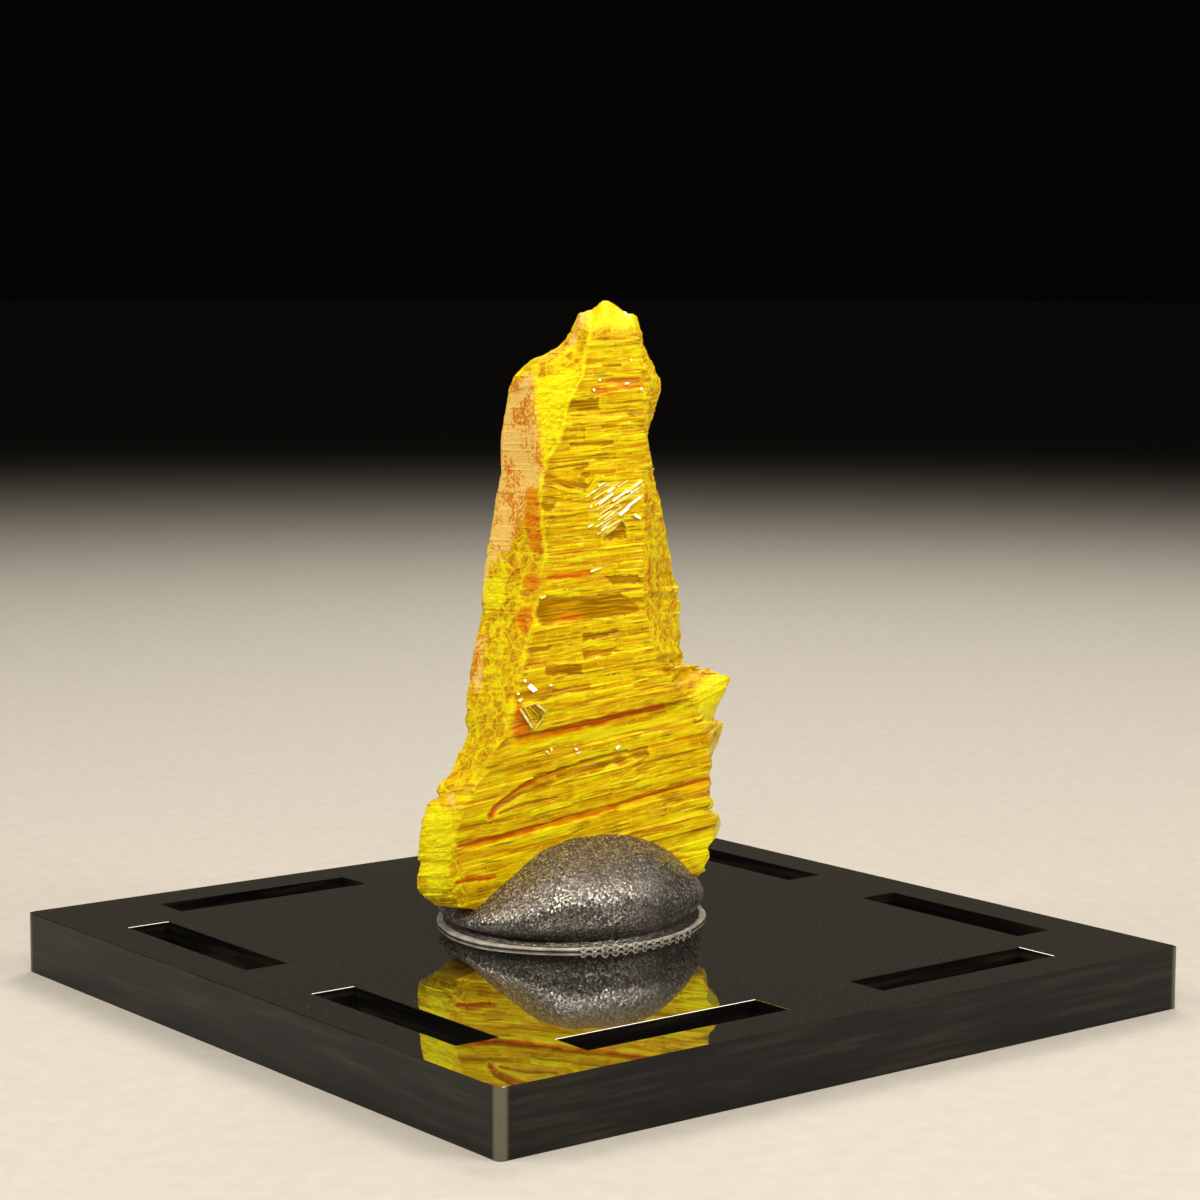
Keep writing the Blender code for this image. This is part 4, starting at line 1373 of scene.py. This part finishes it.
@dataclass
class BrokenSheets:
    """The small laths and panes that stand out of the face where sheets have split."""

    touch: Touch
    flashing_laths: tuple[Lath, ...] = FLASHING_LATHS
    yellow_laths: tuple[Lath, ...] = YELLOW_LATHS
    flashing_panes: tuple[tuple[Pixel, ...], ...] = FLASHING_PANES
    dark_panes: tuple[tuple[Pixel, ...], ...] = DARK_PANES
    thick: float = 0.11

    def model(self) -> bpy.types.Object:
        """Makes one lath of unit size, with chamfered edges and one pointed end."""
        deselect()
        bpy.ops.mesh.primitive_cube_add(size=1.0)
        lath = bpy.context.active_object
        bpy.ops.object.mode_set(mode="EDIT")
        bpy.ops.mesh.bevel(offset=0.12, segments=1)
        bpy.ops.object.mode_set(mode="OBJECT")
        for vert in lath.data.vertices:
            vert.co.y *= 1.0 - 0.35 * max(vert.co.x, 0.0)
        return lath

    def laths(self, laths: tuple[Lath, ...]) -> bpy.types.Object:
        """Lays laths on the face, turned about their length so that they flash."""
        model = self.model()
        placed = []
        for lath in laths:
            start, end = self.touch.at(lath.start, lath.lift), self.touch.at(lath.end, lath.lift)
            along = end - start
            way = flash_way()
            way = (way - along * (way @ along) / along.length_squared).normalized()
            across = way.cross(along).normalized()
            turn = Matrix((along, across * lath.wide, way * self.thick)).transposed().to_4x4()
            middle = (start + end) / 2 - way * (self.thick / 2)
            placed.append(copy_with_mesh(model, Matrix.Translation(middle * MM) @ Matrix.Scale(MM, 4) @ turn))
        bpy.data.objects.remove(model, do_unlink=True)
        return join(placed)

    def panes(self, outlines: tuple[tuple[Pixel, ...], ...], way: Vector, lift: float) -> bpy.types.Object:
        """Cuts panes whose outlines show as given, all facing one way."""
        placed = []
        for outline in outlines:
            middle = np.mean(np.array(outline), axis=0)
            centre = self.touch.at((float(middle[0]), float(middle[1])), lift)
            deselect()
            bpy.ops.mesh.primitive_circle_add(vertices=len(outline), radius=1.0, fill_type="NGON")
            pane = bpy.context.active_object
            for vert, pixel in zip(pane.data.vertices, outline):
                start, sight = CAMERA.ray(pixel)
                vert.co = (start + sight * ((centre - start) @ way) / (sight @ way)) * MM
            apply_modifier(pane, "SOLIDIFY", thickness=0.06 * MM, offset=0.0)
            placed.append(pane)
        whole = join(placed)
        bpy.ops.object.mode_set(mode="EDIT")
        bpy.ops.mesh.select_all(action="SELECT")
        bpy.ops.mesh.normals_make_consistent(inside=False)
        bpy.ops.object.mode_set(mode="OBJECT")
        return whole

    def build(self) -> None:
        """Adds the laths and the panes."""
        flashing = FLASHING.material()
        finish_piece(self.laths(self.flashing_laths), "orpiment_flashing_laths", flashing)
        finish_piece(self.laths(self.yellow_laths), "orpiment_lemon_laths", LEMON_LATHS.material())
        finish_piece(self.panes(self.flashing_panes, flash_way(), 0.1), "orpiment_flashing_panes", flashing)
        towards = (Vector(CAMERA.place) - Vector(KEY_LIGHT.aim)).normalized()
        finish_piece(self.panes(self.dark_panes, towards, 0.12), "orpiment_olive_pane",
                     OLIVE_PANES.material())


@dataclass
class PuttyLump:
    """The lump of putty pressed round the specimen's foot."""

    foot_centre: tuple[float, float] = (0.6, 1.9)
    foot_long: float = 7.4
    foot_short: float = 6.4
    foot_turn: float = math.radians(57)
    low: float = 3.21
    crest: tuple[tuple[float, float], ...] = (
        (-7.4, 3.9), (-5.8, 5.0), (-3.9, 6.3), (-2.5, 7.2), (-1.0, 7.5), (1.8, 7.6), (3.0, 7.55), (4.5, 7.1),
        (5.8, 6.4), (7.4, 5.4))
    cut: float = 0.55
    shoulder: float = 0.88
    bulge: float = 1.03

    def foot_point(self, angle: Numbers, lip: float | Numbers = 0.0) -> tuple[Numbers, Numbers]:
        """Returns reach and depth on the oval foot, or a lip's width outside it."""
        along = (self.foot_long + lip) * np.cos(angle)
        across = (self.foot_short + lip) * np.sin(angle)
        cos, sin = math.cos(self.foot_turn), math.sin(self.foot_turn)
        return (self.foot_centre[0] + along * cos - across * sin,
                self.foot_centre[1] + along * sin + across * cos)

    def build(self) -> bpy.types.Object:
        """Presses a ball into the lump's shape."""
        deselect()
        bpy.ops.mesh.primitive_uv_sphere_add(segments=220, ring_count=120, radius=1.0)
        lump = bpy.context.active_object
        count = len(lump.data.vertices)
        ball = np.zeros(count * 3)
        lump.data.vertices.foreach_get("co", ball)
        ball = ball.reshape(-1, 3)
        angle = np.arctan2(ball[:, 1], ball[:, 0])
        spread = np.hypot(ball[:, 0], ball[:, 1])
        rise = np.maximum(ball[:, 2] + self.cut, 0) / (1 + self.cut)
        waist = math.sqrt(1 - self.cut ** 2)
        spread = np.where(rise == 0, np.minimum(spread / waist, 1), spread * self.bulge)
        rim = self.foot_point(angle)
        reach = self.foot_centre[0] + spread * (rim[0] - self.foot_centre[0])
        depth = self.foot_centre[1] + spread * (rim[1] - self.foot_centre[1])
        crest = np.interp(reach, *zip(*self.crest))
        height = self.low + (crest - self.low) / self.shoulder * rise
        dents = 0.1 * cloud(reach / 2.3, depth / 2.3 + height / 3.1, 71)
        dents += 0.035 * cloud(reach / 0.8 + height, depth / 0.8 - height, 72)
        dents += 0.012 * cloud(reach / 0.3 + height * 3, depth / 0.3 - height * 2, 73)
        dents *= ease(0, 0.12, rise)
        local = np.stack([reach, depth, height], axis=1)
        middle = np.array([*self.foot_centre, self.low])
        away = local - middle
        away /= np.maximum(np.linalg.norm(away, axis=1, keepdims=True), 1e-9)
        local += away * dents[:, None]
        lump.data.vertices.foreach_set("co", (SPECIMEN_FRAME.to_row(local) * MM).ravel())
        bpy.ops.object.shade_smooth()
        return finish_piece(lump, "putty_lump", FlakedPutty().material(), "putty")


@dataclass
class GlueFilm:
    """The film of glue under the putty: a flat oval with a rounded bead round it, and bubbles
    along its front."""

    putty: PuttyLump
    low: float = 3.02
    thick: float = 0.15
    lip: float = 0.07
    end_lip: float = 0.16
    bubbles: int = 13
    bubbles_from: float = -1.6
    bubbles_run: float = 6.3
    bubble_lip: float = 0.14

    def disc(self) -> bpy.types.Object:
        """Makes the film with its bead."""
        deselect()
        bpy.ops.mesh.primitive_circle_add(vertices=240, radius=1.0, fill_type="NGON")
        film = bpy.context.active_object
        for vert in film.data.vertices:
            angle = math.atan2(vert.co.y, vert.co.x)
            wave = 0.02 * math.sin(5 * angle + 1) + 0.012 * math.sin(17 * angle)
            sideways = abs(float(self.putty.foot_point(np.array(angle))[0]) - self.putty.foot_centre[0])
            wide = self.lip + wave + self.end_lip * float(ease(4.4, 6.2, np.array(sideways)))
            reach, depth = self.putty.foot_point(np.array(angle), wide)
            vert.co = Vector(SPECIMEN_FRAME.to_row(np.array([reach, depth, self.low]))) * MM
        apply_modifier(film, "SOLIDIFY", thickness=self.thick * MM, offset=1.0)
        apply_modifier(film, "BEVEL", width=0.06 * MM, segments=3, limit_method="ANGLE")
        bpy.ops.object.shade_smooth_by_angle(angle=math.radians(50))
        return film

    def bubble_ring(self) -> list[bpy.types.Object]:
        """Makes the bubbles that show as small rings along the front of the bead."""
        rings = []
        chance = np.random.default_rng(81)
        angles = np.linspace(0, 2 * math.pi, 720, endpoint=False)
        reach, depth = self.putty.foot_point(angles, self.bubble_lip)
        front = depth < self.putty.foot_centre[1]
        deselect()
        bpy.ops.mesh.primitive_torus_add(major_segments=14, minor_segments=8, major_radius=1.0,
                                         minor_radius=0.32)
        model = bpy.context.active_object
        bpy.ops.object.shade_smooth()
        for number in range(self.bubbles):
            share = number / (self.bubbles - 1)
            reach_goal = self.bubbles_from + self.bubbles_run * share
            best = np.argmin(np.where(front, np.abs(reach - reach_goal), 99))
            out = Vector((reach[best] - self.putty.foot_centre[0],
                          depth[best] - self.putty.foot_centre[1], 0))
            radius = (0.15 - 0.07 * abs(share - 0.25)) * chance.uniform(0.75, 1.1)
            spot = SPECIMEN_FRAME.to_row(np.array([reach[best], depth[best], self.low + 0.09]))
            out.rotate(Matrix.Rotation(SPECIMEN_FRAME.turn, 3, "Z"))
            place = (Matrix.Translation(Vector(spot) * MM) @ out.to_track_quat("Z", "Y").to_matrix().to_4x4()
                     @ Matrix.Diagonal((radius * MM, radius * MM, radius * MM, 1.0)))
            rings.append(copy_with_mesh(model, place))
        bpy.data.objects.remove(model, do_unlink=True)
        return rings

    def build(self) -> None:
        """Adds the film and its bubbles."""
        glue = MilkyGlue().material()
        finish_piece(self.disc(), "glue_bead", glue, "glue_film")
        finish_piece(join(self.bubble_ring()), "glue_bubbles", glue)


def main() -> None:
    """Builds the studio and every piece of the object, in order."""
    logging.basicConfig(level=logging.INFO, format="%(name)s: %(message)s")
    CAMERA.build()
    Studio().build()
    DisplayPlate().build()
    specimen = OrpimentSpecimen().build()
    BrokenSheets(Touch(specimen)).build()
    putty = PuttyLump()
    putty.build()
    GlueFilm(putty).build()


if __name__ == "__main__":
    main()
